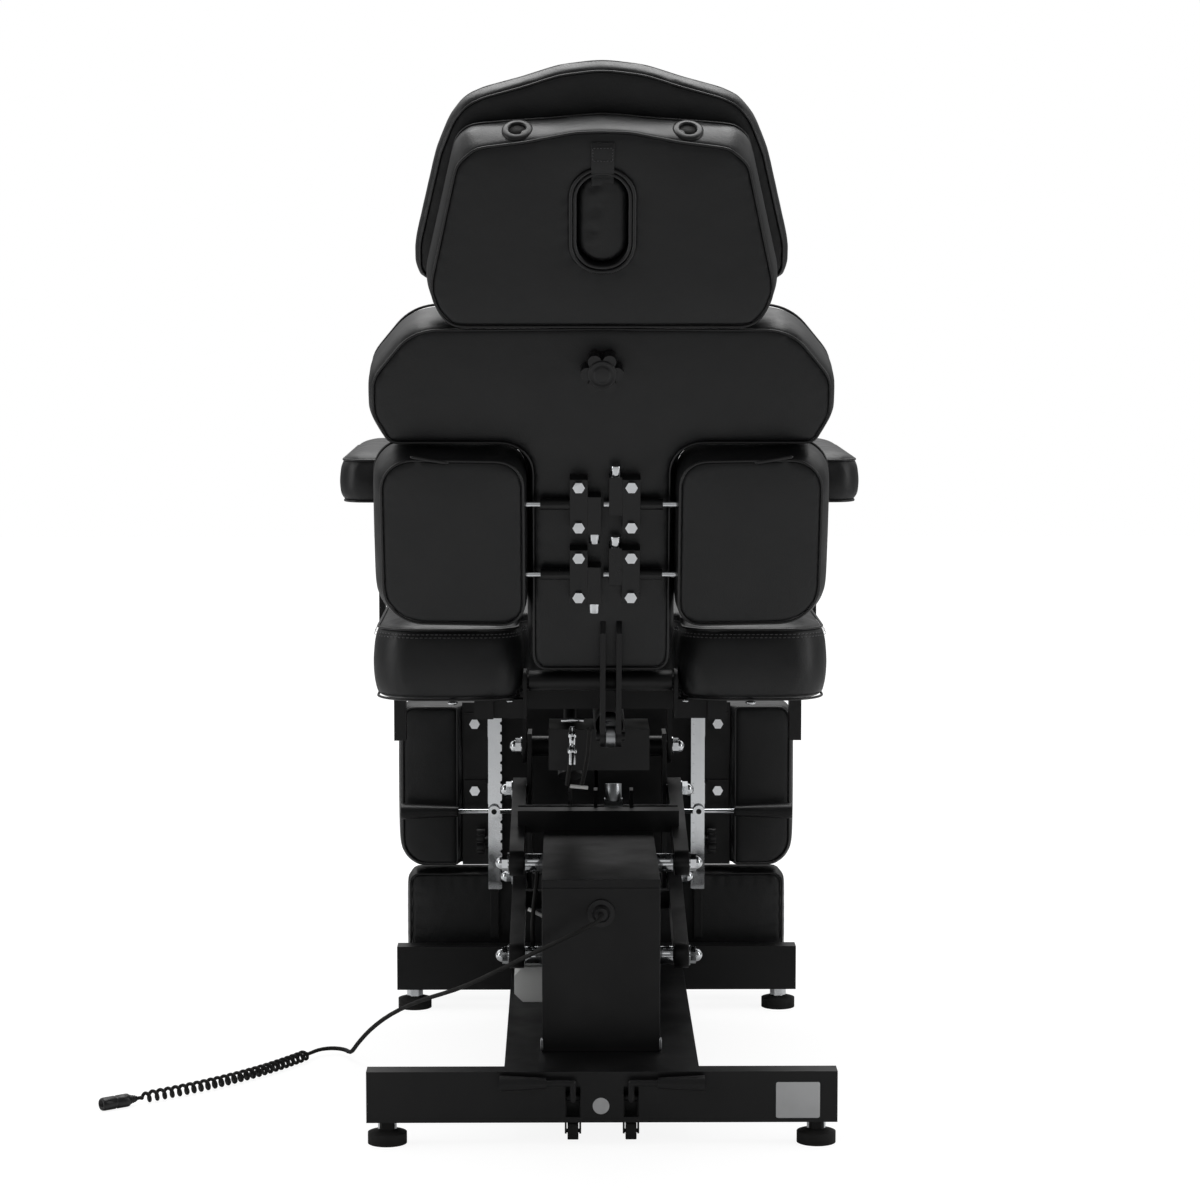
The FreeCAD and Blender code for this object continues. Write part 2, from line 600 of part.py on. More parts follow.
def rounded_wire(points, radii, inset, level, plane):
    """A closed wire of lines and arcs at one level of a cushion."""
    moved = offset_points(points, inset)
    count = len(moved)
    place = {"XY": lambda a, b: Vector(a, b, level), "XZ": lambda a, b: Vector(a, level, b)}[plane]
    corners = []
    for i in range(count):
        before, here, after = moved[i - 1], moved[i], moved[(i + 1) % count]
        u = Vector(before[0] - here[0], before[1] - here[1], 0)
        w = Vector(after[0] - here[0], after[1] - here[1], 0)
        turn = math.pi - u.getAngle(w)
        side = (points[i][0] - points[i - 1][0]) * (points[(i + 1) % count][1] - points[i][1])
        side -= (points[i][1] - points[i - 1][1]) * (points[(i + 1) % count][0] - points[i][0])
        convex = side * here[2] > 0
        radius = max(radii[i] + (-inset if convex else inset), radii[i] / 3)
        reach = min(radius * math.tan(turn / 2), u.Length * v.side_share, w.Length * v.side_share)
        radius = reach / math.tan(turn / 2)
        centre_way = (u.normalize() + w.normalize()).normalize()
        centre = Vector(here[0], here[1], 0) + centre_way * (radius / math.cos(turn / 2))
        middle = centre - centre_way * radius
        start = Vector(here[0], here[1], 0) + u * reach
        end = Vector(here[0], here[1], 0) + w * reach
        corners.append((start, middle, end))
    edges = []
    for i, (start, middle, end) in enumerate(corners):
        following = corners[(i + 1) % count][0]
        arc = [place(p.x, p.y) for p in (start, middle, end)]
        edges.append(Part.Arc(*arc).toShape())
        edges.append(Part.LineSegment(arc[2], place(following.x, following.y)).toShape())
    return Part.Wire(edges)


def pillow(points, radii, levels, plane="XY"):
    """A closed cushion: a ruled loft through its outline at several levels."""
    wires = [rounded_wire(points, radii, inset, level, plane) for level, inset in levels]
    solid = Part.makeLoft(wires, True, True)
    if solid.Volume < 0:
        solid.reverse()
    return solid


def cushion_levels(bottom, band, crown, reach):
    """Levels and insets: drawn-in lower edge, swelling band, drawn-in seam and a crown."""
    draw, bulge = v.band_draw, v.band_bulge
    return [
        (bottom, draw), (bottom + band * v.foot_share, draw * v.draw_share),
        (bottom + band * v.low_share, -bulge * v.half_share), (bottom + band * v.swell_share, -bulge),
        (bottom + band * v.seam_share, 0), (bottom + band, draw * v.half_share),
        (bottom + band + crown * v.crown_start_share, reach * v.reach_start_share),
        (bottom + band + crown * v.crown_end_share, reach * v.reach_end_share),
        (bottom + band + crown, reach),
    ]


def mirrored_points(half):
    """A symmetric outline from its right half, listed from bottom to top."""
    left = [(-x, y) for x, y in reversed(half) if x > 0]
    return half + left


def mirrored(shape):
    """The same shape on the other side of the middle plane."""
    return shape.mirror(Vector(0, 0, 0), X_AXIS)


def side_name(side):
    """The sitter's right is +X."""
    return "right" if side > 0 else "left"


# Floor beams
def floor_beam(name, face, slots):
    """A rectangular tube with bores for its feet and, at the rear, the pedal slots."""
    outer = block(name, "beam_length", "beam_depth", "beam_height", ("-beam_length / 2", face, "beam_bottom"))
    inner = block(f"{name}_inner", "beam_length - 2 * beam_wall", "beam_depth - 2 * beam_wall",
                  "beam_height - 2 * beam_wall",
                  ("-beam_length / 2 + beam_wall", f"{face} + beam_wall", "beam_bottom + beam_wall"))
    tools = [inner]
    for sign in ("-", ""):
        tools.append(bar(f"{name}_foot_bore", "Z", "foot_stem_radius + run_gap", "beam_wall + 2 * overrun",
                         (f"{sign}(beam_length / 2 - foot_inset)", f"{face} + beam_depth / 2", "beam_bottom - overrun")))
        if slots:
            tools.append(block(f"{name}_slot", "slot_width", "beam_wall + 2 * overrun", "slot_height",
                               (f"{sign}slot_offset - slot_width / 2", f"{face} - overrun", "slot_bottom")))
            tools.append(block(f"{name}_bay", "wheel_bay_width", "beam_depth - 2 * beam_wall",
                               "beam_wall + 2 * overrun",
                               (f"{sign}slot_offset - wheel_bay_width / 2", f"{face} + beam_wall",
                                "beam_bottom - overrun")))
    solid = cut(f"{name}_body", outer, tools)
    if not slots:
        return [solid]
    saddles = []
    for sign in ("-", ""):
        for end in ("-1", "1"):
            start = f"{sign}slot_offset + {end} * (pedal_shaft_length / 2 + side_gap)"
            start += " - ear_plate" if end == "-1" else ""
            plate = block("pedal_saddle", "ear_plate", "beam_depth - 2 * beam_wall",
                          "pedal_axis_z - beam_bottom - beam_wall + 2 * pedal_shaft_radius",
                          (start, f"{face} + beam_wall", "beam_bottom + beam_wall"))
            stub_start = f"{sign}slot_offset + {end} * (pedal_shaft_length / 2 + side_gap)"
            axis = "X" if end == "-1" else "-X"
            stub = bar("pedal_stub", axis, "wheel_axle_radius", "ear_plate + side_gap",
                       (stub_start, f"{face} + pedal_axis_y", "pedal_axis_z"))
            saddles += [plate, stub]
    return [join(f"{name}_with_saddles", [solid] + saddles)]


node("rear_beam", floor_beam("rear_beam_tube", "0", True))
node("front_beam", floor_beam("front_beam_tube", "beam_pitch", False))

# Folded channel between the beams, with the tail bracket of the lift motor
channel_length = "beam_pitch - beam_depth"
channel = padded_outline("channel_section", [
    ("-channel_width / 2", "channel_top - channel_height"), ("-channel_width / 2", "channel_top"),
    ("channel_width / 2", "channel_top"), ("channel_width / 2", "channel_top - channel_height"),
    ("channel_width / 2 - channel_wall", "channel_top - channel_height"),
    ("channel_width / 2 - channel_wall", "channel_top - channel_wall"),
    ("-channel_width / 2 + channel_wall", "channel_top - channel_wall"),
    ("-channel_width / 2 + channel_wall", "channel_top - channel_height")], channel_length, "XZ_Plane")
put(channel, ("0", "beam_pitch", "0"))
motor_ears = []
for side in ("-1", "1"):
    ear_start = f"motor_x + {side} * (motor_eye_width / 2 + side_gap)" + (" - ear_plate" if side == "-1" else "")
    motor_ears.append(block("motor_ear", "ear_plate", "2 * motor_eye_radius",
                            "motor_tail_z - channel_top + motor_eye_radius",
                            (ear_start, "motor_tail_y - motor_eye_radius", "channel_top")))
motor_ears.append(bar("motor_tail_pin", "X", "motor_pin_radius", "motor_eye_width + 2 * side_gap + 2 * ear_plate",
                      ("motor_x - motor_eye_width / 2 - side_gap - ear_plate", "motor_tail_y", "motor_tail_z")))
node("base_channel", [join("channel_with_bracket", [channel] + motor_ears)])

# Column casing, lid, gland and control housing
column = block("column", "column_width", "column_length", "column_top - channel_top",
               ("-column_width / 2", "column_rear", "channel_top"))
column_tools = [block("column_inner", "column_width - 2 * column_wall", "column_length - 2 * column_wall",
                      "column_top - channel_top + 2 * overrun",
                      ("-column_width / 2 + column_wall", "column_rear + column_wall", "channel_top - overrun"))]
for height in ("lower_pivot_z", "lower_pivot_z + pivot_rise"):
    column_tools.append(bar("column_shaft_bore", "X", "shaft_radius", "column_width + 2 * overrun",
                            ("-column_width / 2 - overrun", "post_pivot_y", height)))
column_tools.append(bar("column_gland_bore", "Y", "gland_nose_radius", "column_wall + 2 * overrun",
                        ("0", "column_rear - overrun", "gland_centre")))
node("column_box", [cut("column_casing", column, column_tools)])

lid = block("lid", "column_width", "column_length", "lid_height", ("-column_width / 2", "column_rear", "column_top"))
lid_inner = block("lid_inner", "column_width - 2 * lid_wall", "column_length - 2 * lid_wall", "lid_height",
                  ("-column_width / 2 + lid_wall", "column_rear + lid_wall", "column_top - lid_wall"))
node("column_lid", [cut("lid_shell", lid, [lid_inner])])

gland = join("gland_body", [
    bar("gland_flange", "Y", "gland_radius", "gland_flange", ("0", "column_rear - gland_flange", "gland_centre")),
    bar("gland_back", "Y", "gland_nose_radius", "gland_flange + column_wall",
        ("0", "column_rear - gland_flange", "gland_centre")),
    taper("gland_nose", "-Y", "gland_nose_radius", "gland_nose_radius * nose_share", "gland_nose",
          ("0", "column_rear - gland_flange", "gland_centre"))])
gland_bore = bar("gland_bore", "-Y", "cord_radius + side_gap / 2", "gland_nose + overrun",
                 ("0", "column_rear - gland_flange - gland_nose / 2", "gland_centre"))
node("cable_gland", [cut("gland", gland, [gland_bore])])

housing = padded_outline("housing_section", [
    ("-column_width / 2 - housing_width", "channel_top + housing_chamfer"),
    ("-column_width / 2 - housing_width", "channel_top + housing_height - housing_chamfer"),
    ("-column_width / 2 - housing_width + housing_chamfer", "channel_top + housing_height"),
    ("-column_width / 2", "channel_top + housing_height"), ("-column_width / 2", "channel_top"),
    ("-column_width / 2 - housing_width + housing_chamfer", "channel_top")], "housing_length", "XZ_Plane")
put(housing, ("0", "housing_front", "0"))
node("control_housing", [housing])


# Pivot shafts and dome nuts
def dome_nut(name, side, start, y, z):
    """A washer, a hexagon and its dome, from the inside outwards."""
    axis = "X" if side == "1" else "-X"
    washer = bar(f"{name}_washer", axis, "washer_radius", "washer_height", (f"{side} * ({start})", y, z))
    hexa = hexagon(f"{name}_hexagon", axis, "nut_radius", "nut_height",
                   (f"{side} * ({start} + washer_height)", y, z))
    dome = new("Part::Sphere", f"{name}_dome")
    tie(dome, "Radius", "dome_radius")
    dome.Angle1 = 0
    dome.Placement.Rotation = TURN_TO["X"] if side == "1" else FLIP_TO["X"]
    put(dome, (f"{side} * ({start} + washer_height + nut_height)", y, z))
    return join(name, [washer, hexa, dome])


shaft_reach = "arm_inner + arm_thickness + nut_gap"
shafts = []
for height in ("lower_pivot_z", "lower_pivot_z + pivot_rise"):
    pieces = [bar("pivot_shaft", "X", "shaft_radius", f"2 * ({shaft_reach})",
                  (f"-({shaft_reach})", "post_pivot_y", height))]
    for side in ("-1", "1"):
        pieces.append(bar("pivot_boss", "X" if side == "1" else "-X", "boss_radius",
                          "arm_inner - side_gap - column_width / 2",
                          (f"{side} * column_width / 2", "post_pivot_y", height)))
    shafts.append(join("pivot_shaft_with_bosses", pieces))
    for side in ("-1", "1"):
        shafts.append(dome_nut("post_nut", side, shaft_reach, "post_pivot_y", height))
node("column_shafts", shafts)


# Levelling feet
def levelling_foot(name, side, y):
    """A rubber disc, a nut and the threaded stem in the beam."""
    disc = bar("foot_disc", "Z", "foot_radius", "foot_height", ("0", "0", "0"))
    top = taper("foot_top", "Z", "foot_radius", "foot_nut_radius", "foot_shoulder", ("0", "0", "foot_height"))
    nut = hexagon("foot_nut", "Z", "foot_nut_radius", "beam_bottom - foot_height - foot_shoulder - nut_gap",
                  ("0", "0", "foot_height + foot_shoulder"))
    stem = bar("foot_stem", "Z", "foot_stem_radius", "foot_stem_length", ("0", "0", "foot_height"))
    node(name, [join(name, [disc, top, nut, stem])], (f"{side} * (beam_length / 2 - foot_inset)", y, "0"))


for side in (-1, 1):
    levelling_foot(f"levelling_foot_rear_{side_name(side)}", side, "beam_depth / 2")
    levelling_foot(f"levelling_foot_front_{side_name(side)}", side, "beam_pitch + beam_depth / 2")


# Rear pedals and transport wheels
def rear_pedal(side):
    """A shaft in the beam with a bent rod and grip behind it and a wheel fork below it."""
    x = f"{side} * slot_offset"
    grip_axis = "X" if side > 0 else "-X"
    pieces = [bar("pedal_shaft", "X", "pedal_shaft_radius", "pedal_shaft_length",
                  (f"{x} - pedal_shaft_length / 2", "pedal_axis_y", "pedal_axis_z"))]
    pieces.append(bar("pedal_rod_in", "Y", "pedal_rod_radius", "pedal_axis_y + pedal_rod_reach",
                      (x, "-pedal_rod_reach", "pedal_rod_z")))
    pieces.append(bar("pedal_rod_up", "Z", "pedal_rod_radius", "pedal_grip_z - pedal_rod_z",
                      (x, "-pedal_rod_reach", "pedal_rod_z")))
    pieces.append(bar("pedal_rod_out", grip_axis, "pedal_rod_radius", "pedal_grip_start - slot_offset",
                      (x, "-pedal_rod_reach", "pedal_grip_z")))
    for height in ("pedal_rod_z", "pedal_grip_z"):
        pieces.append(ball("pedal_bend", "pedal_rod_radius", (x, "-pedal_rod_reach", height)))
    pieces.append(taper("pedal_grip", grip_axis, "pedal_grip_neck", "pedal_grip_radius", "pedal_grip_length",
                        (f"{side} * pedal_grip_start", "-pedal_rod_reach", "pedal_grip_z")))
    dy, dz = v.wheel_axle_y - v.pedal_axis_y, v.wheel_axle_z - v.pedal_axis_z
    lean = math.degrees(math.atan2(dy, -dz))
    for edge in ("-1", "1"):
        start = f"{edge} * (wheel_width / 2 + side_gap)" + (" - fork_plate" if edge == "-1" else "")
        plate = block("fork_plate", "fork_plate", "fork_plate_width", str(math.hypot(dy, dz)),
                      ("0", "-fork_plate_width / 2", "0"))
        turned = new("Part::Compound", "fork_plate_turned")
        turned.Links = [plate]
        turned.Placement.Rotation = Rotation(X_AXIS, 180 + lean)
        put(turned, (f"{x} + {start}", "pedal_axis_y", "pedal_axis_z"))
        pieces.append(turned)
        tip = bar("fork_tip", "X", "fork_plate_width / 2", "fork_plate", (f"{x} + {start}", "wheel_axle_y",
                                                                       "wheel_axle_z"))
        pieces.append(tip)
    pieces.append(bar("wheel_axle", "X", "wheel_axle_radius", "wheel_width + 2 * side_gap + fork_plate",
                      (f"{x} - wheel_width / 2 - side_gap - fork_plate / 2", "wheel_axle_y", "wheel_axle_z")))
    socket = bar("pedal_socket", "X", "wheel_axle_radius + run_gap", "pedal_shaft_length + 2 * overrun",
                 (f"{x} - pedal_shaft_length / 2 - overrun", "pedal_axis_y", "pedal_axis_z"))
    node(f"rear_pedal_{side_name(side)}", [cut("pedal", join("pedal_pieces", pieces), [socket])])
    wheel = bar("wheel", "X", "wheel_radius", "wheel_width", (f"{x} - wheel_width / 2", "wheel_axle_y",
                                                              "wheel_axle_z"))
    bore = bar("wheel_bore", "X", "wheel_axle_radius + run_gap", "wheel_width + 2 * overrun",
               (f"{x} - wheel_width / 2 - overrun", "wheel_axle_y", "wheel_axle_z"))
    node(f"transport_wheel_{side_name(side)}", [cut("wheel_ring", wheel, [bore])])


for side in (-1, 1):
    rear_pedal(side)


# Lift arms, drawn level from their fixed pivot and then turned by the lift angle
def arm_bar(side):
    """One arm with round ends and two bores."""
    start = "arm_inner" if side > 0 else "-arm_inner - arm_thickness"
    bar_body = block("arm_bar", "arm_thickness", "arm_reach", "arm_height", (start, "0", "-arm_height / 2"))
    ends = [bar("arm_end", "X", "arm_height / 2", "arm_thickness", (start, y, "0")) for y in ("0", "arm_reach")]
    bores = [bar("arm_bore", "X", "shaft_radius + run_gap", "arm_thickness + 2 * overrun",
                 (f"{start} - overrun", y, "0")) for y in ("0", "arm_reach")]
    return join("arm_blank", [bar_body] + ends), bores


def lift_arms(name, height, cross_piece):
    """A pair of arms with the piece that ties them together."""
    blanks, bores = [], []
    for side in (-1, 1):
        blank, holes = arm_bar(side)
        blanks.append(blank)
        bores += holes
    node(name, [cut(name, join(f"{name}_pair", blanks + [cross_piece]), bores)], ("0", "post_pivot_y", height),
         "lift_angle")


cross_tube = bar("arm_cross_tube", "X", "cross_tube_radius", "2 * arm_inner + arm_thickness",
                 ("-arm_inner - arm_thickness / 2", "cross_tube_reach", "0"))
lift_arms("lower_arms", "lower_pivot_z", cross_tube)
bar_y, bar_z = "head_bar_reach * cos(head_bar_angle)", "head_bar_reach * sin(head_bar_angle)"
yoke_face = f"{bar_y} - yoke_bar_gap"
yoke_middle = f"{bar_z} + yoke_bar_rise"
yoke = [bar("motor_head_bar", "X", "head_bar_radius", "2 * arm_inner + arm_thickness",
            ("-arm_inner - arm_thickness / 2", bar_y, bar_z)),
        block("yoke_bar", "2 * arm_inner + arm_thickness", "yoke_bar_depth", "yoke_bar_height",
              ("-arm_inner - arm_thickness / 2", f"{yoke_face} - yoke_bar_depth",
               f"{yoke_middle} - yoke_bar_height / 2"))]
for start in ("motor_x - yoke_half_gap - yoke_plate", "motor_x + yoke_half_gap"):
    cheek = padded_outline("yoke_cheek", [
        (f"{yoke_face} - overrun", f"{yoke_middle} - yoke_bar_height / 2"),
        (f"{bar_y} + yoke_front", f"{bar_z} - yoke_front"), (f"{bar_y} + yoke_front", f"{bar_z} + yoke_front"),
        (bar_y, f"{bar_z} + yoke_head"), (f"{bar_y} - yoke_front", f"{bar_z} + yoke_head"),
        (f"{yoke_face} - overrun", f"{yoke_middle} + yoke_bar_height / 2")], "yoke_plate")
    put(cheek, (start, "0", "0"))
    yoke.append(cheek)
lift_arms("upper_arms", "lower_pivot_z + pivot_rise", join("motor_yoke", yoke))

# Carriage that the arms carry level
sheet_row = len(SIZES) + 1
for alias, text in (("carriage_y", "=post_pivot_y + arm_reach * cos(lift_angle)"),
                    ("carriage_z", "=lower_pivot_z + arm_reach * sin(lift_angle)")):
    sheet.set(f"A{sheet_row}", alias)
    sheet.set(f"B{sheet_row}", text)
    sheet.setAlias(f"B{sheet_row}", alias)
    ALIASES.add(alias)
    sheet_row += 1
doc.recompute()

carriage_pieces = []
for side in (-1, 1):
    start = "carriage_side - carriage_plate" if side > 0 else "-carriage_side"
    carriage_pieces.append(block("carriage_plate", "carriage_plate", "carriage_plate_width",
                                 "seat_hinge_z + carriage_plate_head - carriage_z + carriage_plate_foot",
                                 (start, "carriage_y - carriage_plate_width / 2",
                                  "carriage_z - carriage_plate_foot")))
tie_tube = block("tie_tube", "2 * carriage_side - carriage_plate", "tie_tube_depth", "tie_tube_height",
                 ("-carriage_side + carriage_plate / 2", "carriage_y - tie_tube_depth / 2", "tie_tube_bottom"))
tie_tube_inner = block("tie_tube_inner", "2 * carriage_side - 2 * carriage_plate",
                       "tie_tube_depth - 2 * tie_tube_wall", "tie_tube_height - 2 * tie_tube_wall",
                       ("-carriage_side + carriage_plate", "carriage_y - tie_tube_depth / 2 + tie_tube_wall",
                        "tie_tube_bottom + tie_tube_wall"))
round_tube = bar("seat_hinge_tube", "X", "seat_hinge_tube_radius", "2 * carriage_side - carriage_plate",
                 ("-carriage_side + carriage_plate / 2", "carriage_y", "seat_hinge_z"))
node("carriage_frame", [cut("carriage", join("carriage_blank", carriage_pieces + [tie_tube, round_tube]),
                            [tie_tube_inner])])

pins = []
for side in ("-1", "1"):
    axis = "X" if side == "1" else "-X"
    for height, reach in (("carriage_z", shaft_reach), ("carriage_z + pivot_rise", shaft_reach),
                          ("seat_hinge_z", "arm_inner + hinge_plate + nut_gap")):
        pin = bar("carriage_pin", axis, "shaft_radius", f"{reach} - carriage_side",
                  (f"{side} * carriage_side", "carriage_y", height))
        nut = dome_nut("carriage_nut", side, reach, "carriage_y", height)
        pins.append(join("carriage_pin_with_nut", [pin, nut]))
node("carriage_pins", pins)

# Lift motor, drawn upright from its tail pin and then leaned
rest_head_y = v.post_pivot_y + v.head_bar_reach * math.cos(math.radians(v.lift_angle + v.head_bar_angle))
rest_head_z = (v.lower_pivot_z + v.pivot_rise
               + v.head_bar_reach * math.sin(math.radians(v.lift_angle + v.head_bar_angle)))
motor_length = math.hypot(rest_head_y - v.motor_tail_y, rest_head_z - v.motor_tail_z)
motor_lean = -math.degrees(math.atan2(rest_head_y - v.motor_tail_y, rest_head_z - v.motor_tail_z))
motor_outer = join("motor_outer", [
    bar("motor_eye", "X", "motor_eye_radius", "motor_eye_width", ("-motor_eye_width / 2", "0", "0")),
    bar("motor_neck", "Z", "motor_neck_radius", "motor_tube_start + motor_eye_radius",
        ("0", "0", "motor_eye_radius / 2")),
    bar("motor_tube", "Z", "motor_tube_radius", "motor_tube_length - motor_eye_radius",
        ("0", "0", "motor_tube_start + motor_eye_radius")),
    bar("motor_can", "Z", "motor_can_radius", "motor_can_length",
        ("-motor_can_offset", "0", "motor_tube_start + motor_eye_radius")),
    block("motor_gear", "motor_can_offset", "2 * motor_tube_radius", "2 * motor_eye_radius",
          ("-motor_can_offset", "-motor_tube_radius", "motor_tube_start + motor_eye_radius"))])
motor_bores = [
    bar("motor_tail_bore", "X", "motor_pin_radius + run_gap", "motor_eye_width + 2 * overrun",
        ("-motor_eye_width / 2 - overrun", "0", "0")),
    bar("motor_tube_bore", "Z", "motor_rod_radius + run_gap", "motor_tube_length + overrun",
        ("0", "0", "motor_tube_start + overrun"))]
node("lift_motor", [cut("lift_motor_body", motor_outer, motor_bores)], ("motor_x", "motor_tail_y", "motor_tail_z"),
     str(motor_lean))
eye_inner = "head_bar_radius + motor_head_gap"
push_rod = join("push_rod_blank", [
    bar("push_rod_bar", "Z", "motor_rod_radius", f"{motor_length} - motor_rod_start + motor_head_rise",
        ("0", "0", "motor_rod_start")),
    bar("push_rod_eye", "X", f"{eye_inner} + motor_head_wall", "motor_head_width",
        ("-motor_head_width / 2", "0", str(motor_length)))])
push_bore = bar("push_rod_bore", "X", eye_inner, "motor_head_width + 2 * overrun",
                ("-motor_head_width / 2 - overrun", "0", str(motor_length)))
node("lift_motor_rod", [cut("push_rod", push_rod, [push_bore])], ("motor_x", "motor_tail_y", "motor_tail_z"),
     str(motor_lean))

# Seat frame: rails, cross bars, hinge plates, hinge ears and motor ears
frame_top = "seat_bottom"
frame_base = "(seat_bottom - frame_tube)"
frame_pieces = []
for side in (-1, 1):
    rail_start = "frame_rail_x" if side > 0 else "-frame_rail_x - frame_tube"
    frame_pieces.append(block("frame_rail", "frame_tube", "frame_front - frame_rear", "frame_tube",
                              (rail_start, "frame_rear", frame_base)))
    plate_start = "arm_inner" if side > 0 else "-arm_inner - hinge_plate"
    frame_pieces.append(block("tilt_hinge_plate", "hinge_plate", "hinge_plate_width",
                              f"{frame_base} - seat_hinge_z + frame_tube",
                              (plate_start, "carriage_y - hinge_plate_width / 2", "seat_hinge_z")))
    frame_pieces.append(bar("tilt_hinge_end", "X", "hinge_plate_width / 2", "hinge_plate",
                            (plate_start, "carriage_y", "seat_hinge_z")))
    ear_start = "ear_outer - ear_plate" if side > 0 else "-ear_outer"
    frame_pieces.append(block("back_ear", "ear_plate", "2 * frame_tube / 2 + back_tube_radius / 2",
                              f"back_hinge_z - {frame_base}",
                              (ear_start, "back_hinge_y - frame_tube / 2 - back_tube_radius / 4", frame_base)))
    frame_pieces.append(bar("back_ear_end", "X", "frame_tube / 2 + back_tube_radius / 4", "ear_plate",
                            (ear_start, "back_hinge_y", "back_hinge_z")))
    pin_axis = "-X" if side > 0 else "X"
    frame_pieces.append(bar("back_hinge_pin", pin_axis, "back_pin_radius", "ear_plate + frame_tube",
                            (f"{side} * ear_outer", "back_hinge_y", "back_hinge_z")))
    stub_start = "ear_outer - ear_plate" if side > 0 else "-frame_rail_x"
    frame_pieces.append(block("back_ear_foot", "frame_rail_x - ear_outer + ear_plate", "frame_tube", "frame_tube",
                              (stub_start, "back_hinge_y - frame_tube / 2", frame_base)))
    for edge in ("-1", "1"):
        lug_start = f"{side} * rail_x + {edge} * (leg_lug / 2 + side_gap)" + (" - ear_plate" if edge == "-1"
                                                                            else "")
        frame_pieces.append(block("leg_ear", "ear_plate", "leg_hinge_y - frame_front + overrun",
                                  "2 * leg_lug_radius", (lug_start, "frame_front - overrun",
                                                          "leg_hinge_z - leg_lug_radius")))
        frame_pieces.append(bar("leg_ear_end", "X", "leg_lug_radius", "ear_plate",
                                (lug_start, "leg_hinge_y", "leg_hinge_z")))
        frame_pieces.append(block("leg_ear_root", "ear_plate", "frame_tube",
                                  f"{frame_top} - leg_hinge_z + leg_lug_radius",
                                  (lug_start, "frame_front - frame_tube", "leg_hinge_z - leg_lug_radius")))
    frame_pieces.append(bar("leg_pin", "X", "leg_pin_radius", "leg_lug + 2 * side_gap + 2 * ear_plate",
                            (f"{side} * rail_x - leg_lug / 2 - side_gap - ear_plate", "leg_hinge_y",
                             "leg_hinge_z")))
for bar_start in ("frame_rear_bar", "frame_mid_bar", "carriage_y - frame_tube / 2"):
    frame_pieces.append(block("frame_cross_bar", "2 * frame_rail_x", "frame_tube", "frame_tube",
                              ("-frame_rail_x", bar_start, frame_base)))
for edge in ("-1", "1"):
    ear_start = f"tilt_x + {edge} * (tilt_rod_radius + side_gap)" + (" - ear_plate" if edge == "-1" else "")
    frame_pieces.append(block("tilt_ear", "ear_plate", "frame_tube", f"{frame_base} - tilt_pin_z + frame_tube / 2",
                              (ear_start, "tilt_pin_y - frame_tube / 2", "tilt_pin_z - frame_tube / 2")))
frame_pieces.append(bar("tilt_pin", "X", "tilt_pin_radius", "2 * tilt_rod_radius + 2 * side_gap + 2 * ear_plate",
                        ("tilt_x - tilt_rod_radius - side_gap - ear_plate", "tilt_pin_y", "tilt_pin_z")))
frame_holes = [bar("tilt_hinge_bore", "X", "shaft_radius + run_gap", "2 * arm_inner + 4 * hinge_plate",
                   ("-arm_inner - 2 * hinge_plate", "carriage_y", "seat_hinge_z"))]
node("seat_frame", [cut("seat_frame", join("seat_frame_blank", frame_pieces), frame_holes)])

# Tilt motor: its rod keeps its lean while the seat turns, and slides in the carriage's tube
tilt_dy = v.tilt_pin_y - (v.post_pivot_y + v.arm_reach * math.cos(math.radians(v.lift_angle)))
tilt_dz = v.tilt_pin_z - v.seat_hinge_z
tilt_mean = math.atan2(tilt_dz, tilt_dy) + math.radians(v.tilt_angle / 2)
tilt_lean = math.degrees(tilt_mean)
tilt_rod = join("tilt_rod_blank", [
    bar("tilt_rod_bar", "-Z", "tilt_rod_radius", "tilt_rod_length", ("0", "0", "0")),
    bar("tilt_rod_eye", "X", "tilt_rod_radius", "2 * tilt_rod_radius", ("-tilt_rod_radius", "0", "0"))])
tilt_rod_bore = bar("tilt_rod_bore", "X", "tilt_pin_radius + run_gap", "2 * tilt_rod_radius + 2 * overrun",
                    ("-tilt_rod_radius - overrun", "0", "0"))
TILT_TURN = str(tilt_lean - 180)
node("tilt_motor_rod", [cut("tilt_rod", tilt_rod, [tilt_rod_bore])], ("tilt_x", "tilt_pin_y", "tilt_pin_z"),
     TILT_TURN)
tilt_tube = bar("tilt_tube", "-Z", "tilt_tube_radius", "tilt_tube_length", ("0", "0", "-tilt_tube_start"))
tilt_bore = bar("tilt_tube_bore", "-Z", "tilt_rod_radius + tilt_bore_gap", "tilt_tube_length",
                ("0", "0", "-tilt_tube_start + overrun"))
tilt_tube_turned = new("Part::Compound", "tilt_tube_turned")
tilt_tube_turned.Links = [tilt_tube]
tilt_bore_turned = new("Part::Compound", "tilt_bore_turned")
tilt_bore_turned.Links = [tilt_bore]
for thing in (tilt_tube_turned, tilt_bore_turned):
    thing.Placement.Rotation = Rotation(X_AXIS, tilt_lean - 180)
    put(thing, ("tilt_x", "tilt_pin_y", "tilt_pin_z"))
tilt_arm = padded_outline("tilt_arm", [
    ("carriage_y + tie_tube_depth / 2", "tie_tube_bottom + tie_tube_height"),
    ("carriage_y + tie_tube_depth / 2", "tie_tube_bottom + 2 * tie_tube_height"),
    ("tilt_pin_y", "tilt_pin_z - tilt_tube_start - frame_tube"),
    ("tilt_pin_y - 2 * frame_tube", "tilt_pin_z - tilt_tube_start - 3 * frame_tube"),
    ("carriage_y - tie_tube_depth / 2", "tie_tube_bottom + tie_tube_height")], "hinge_plate")
put(tilt_arm, ("tilt_x - hinge_plate / 2", "0", "0"))
node("tilt_motor", [cut("tilt_motor_body", join("tilt_motor_blank", [tilt_tube_turned, tilt_arm]),
                        [tilt_bore_turned])])


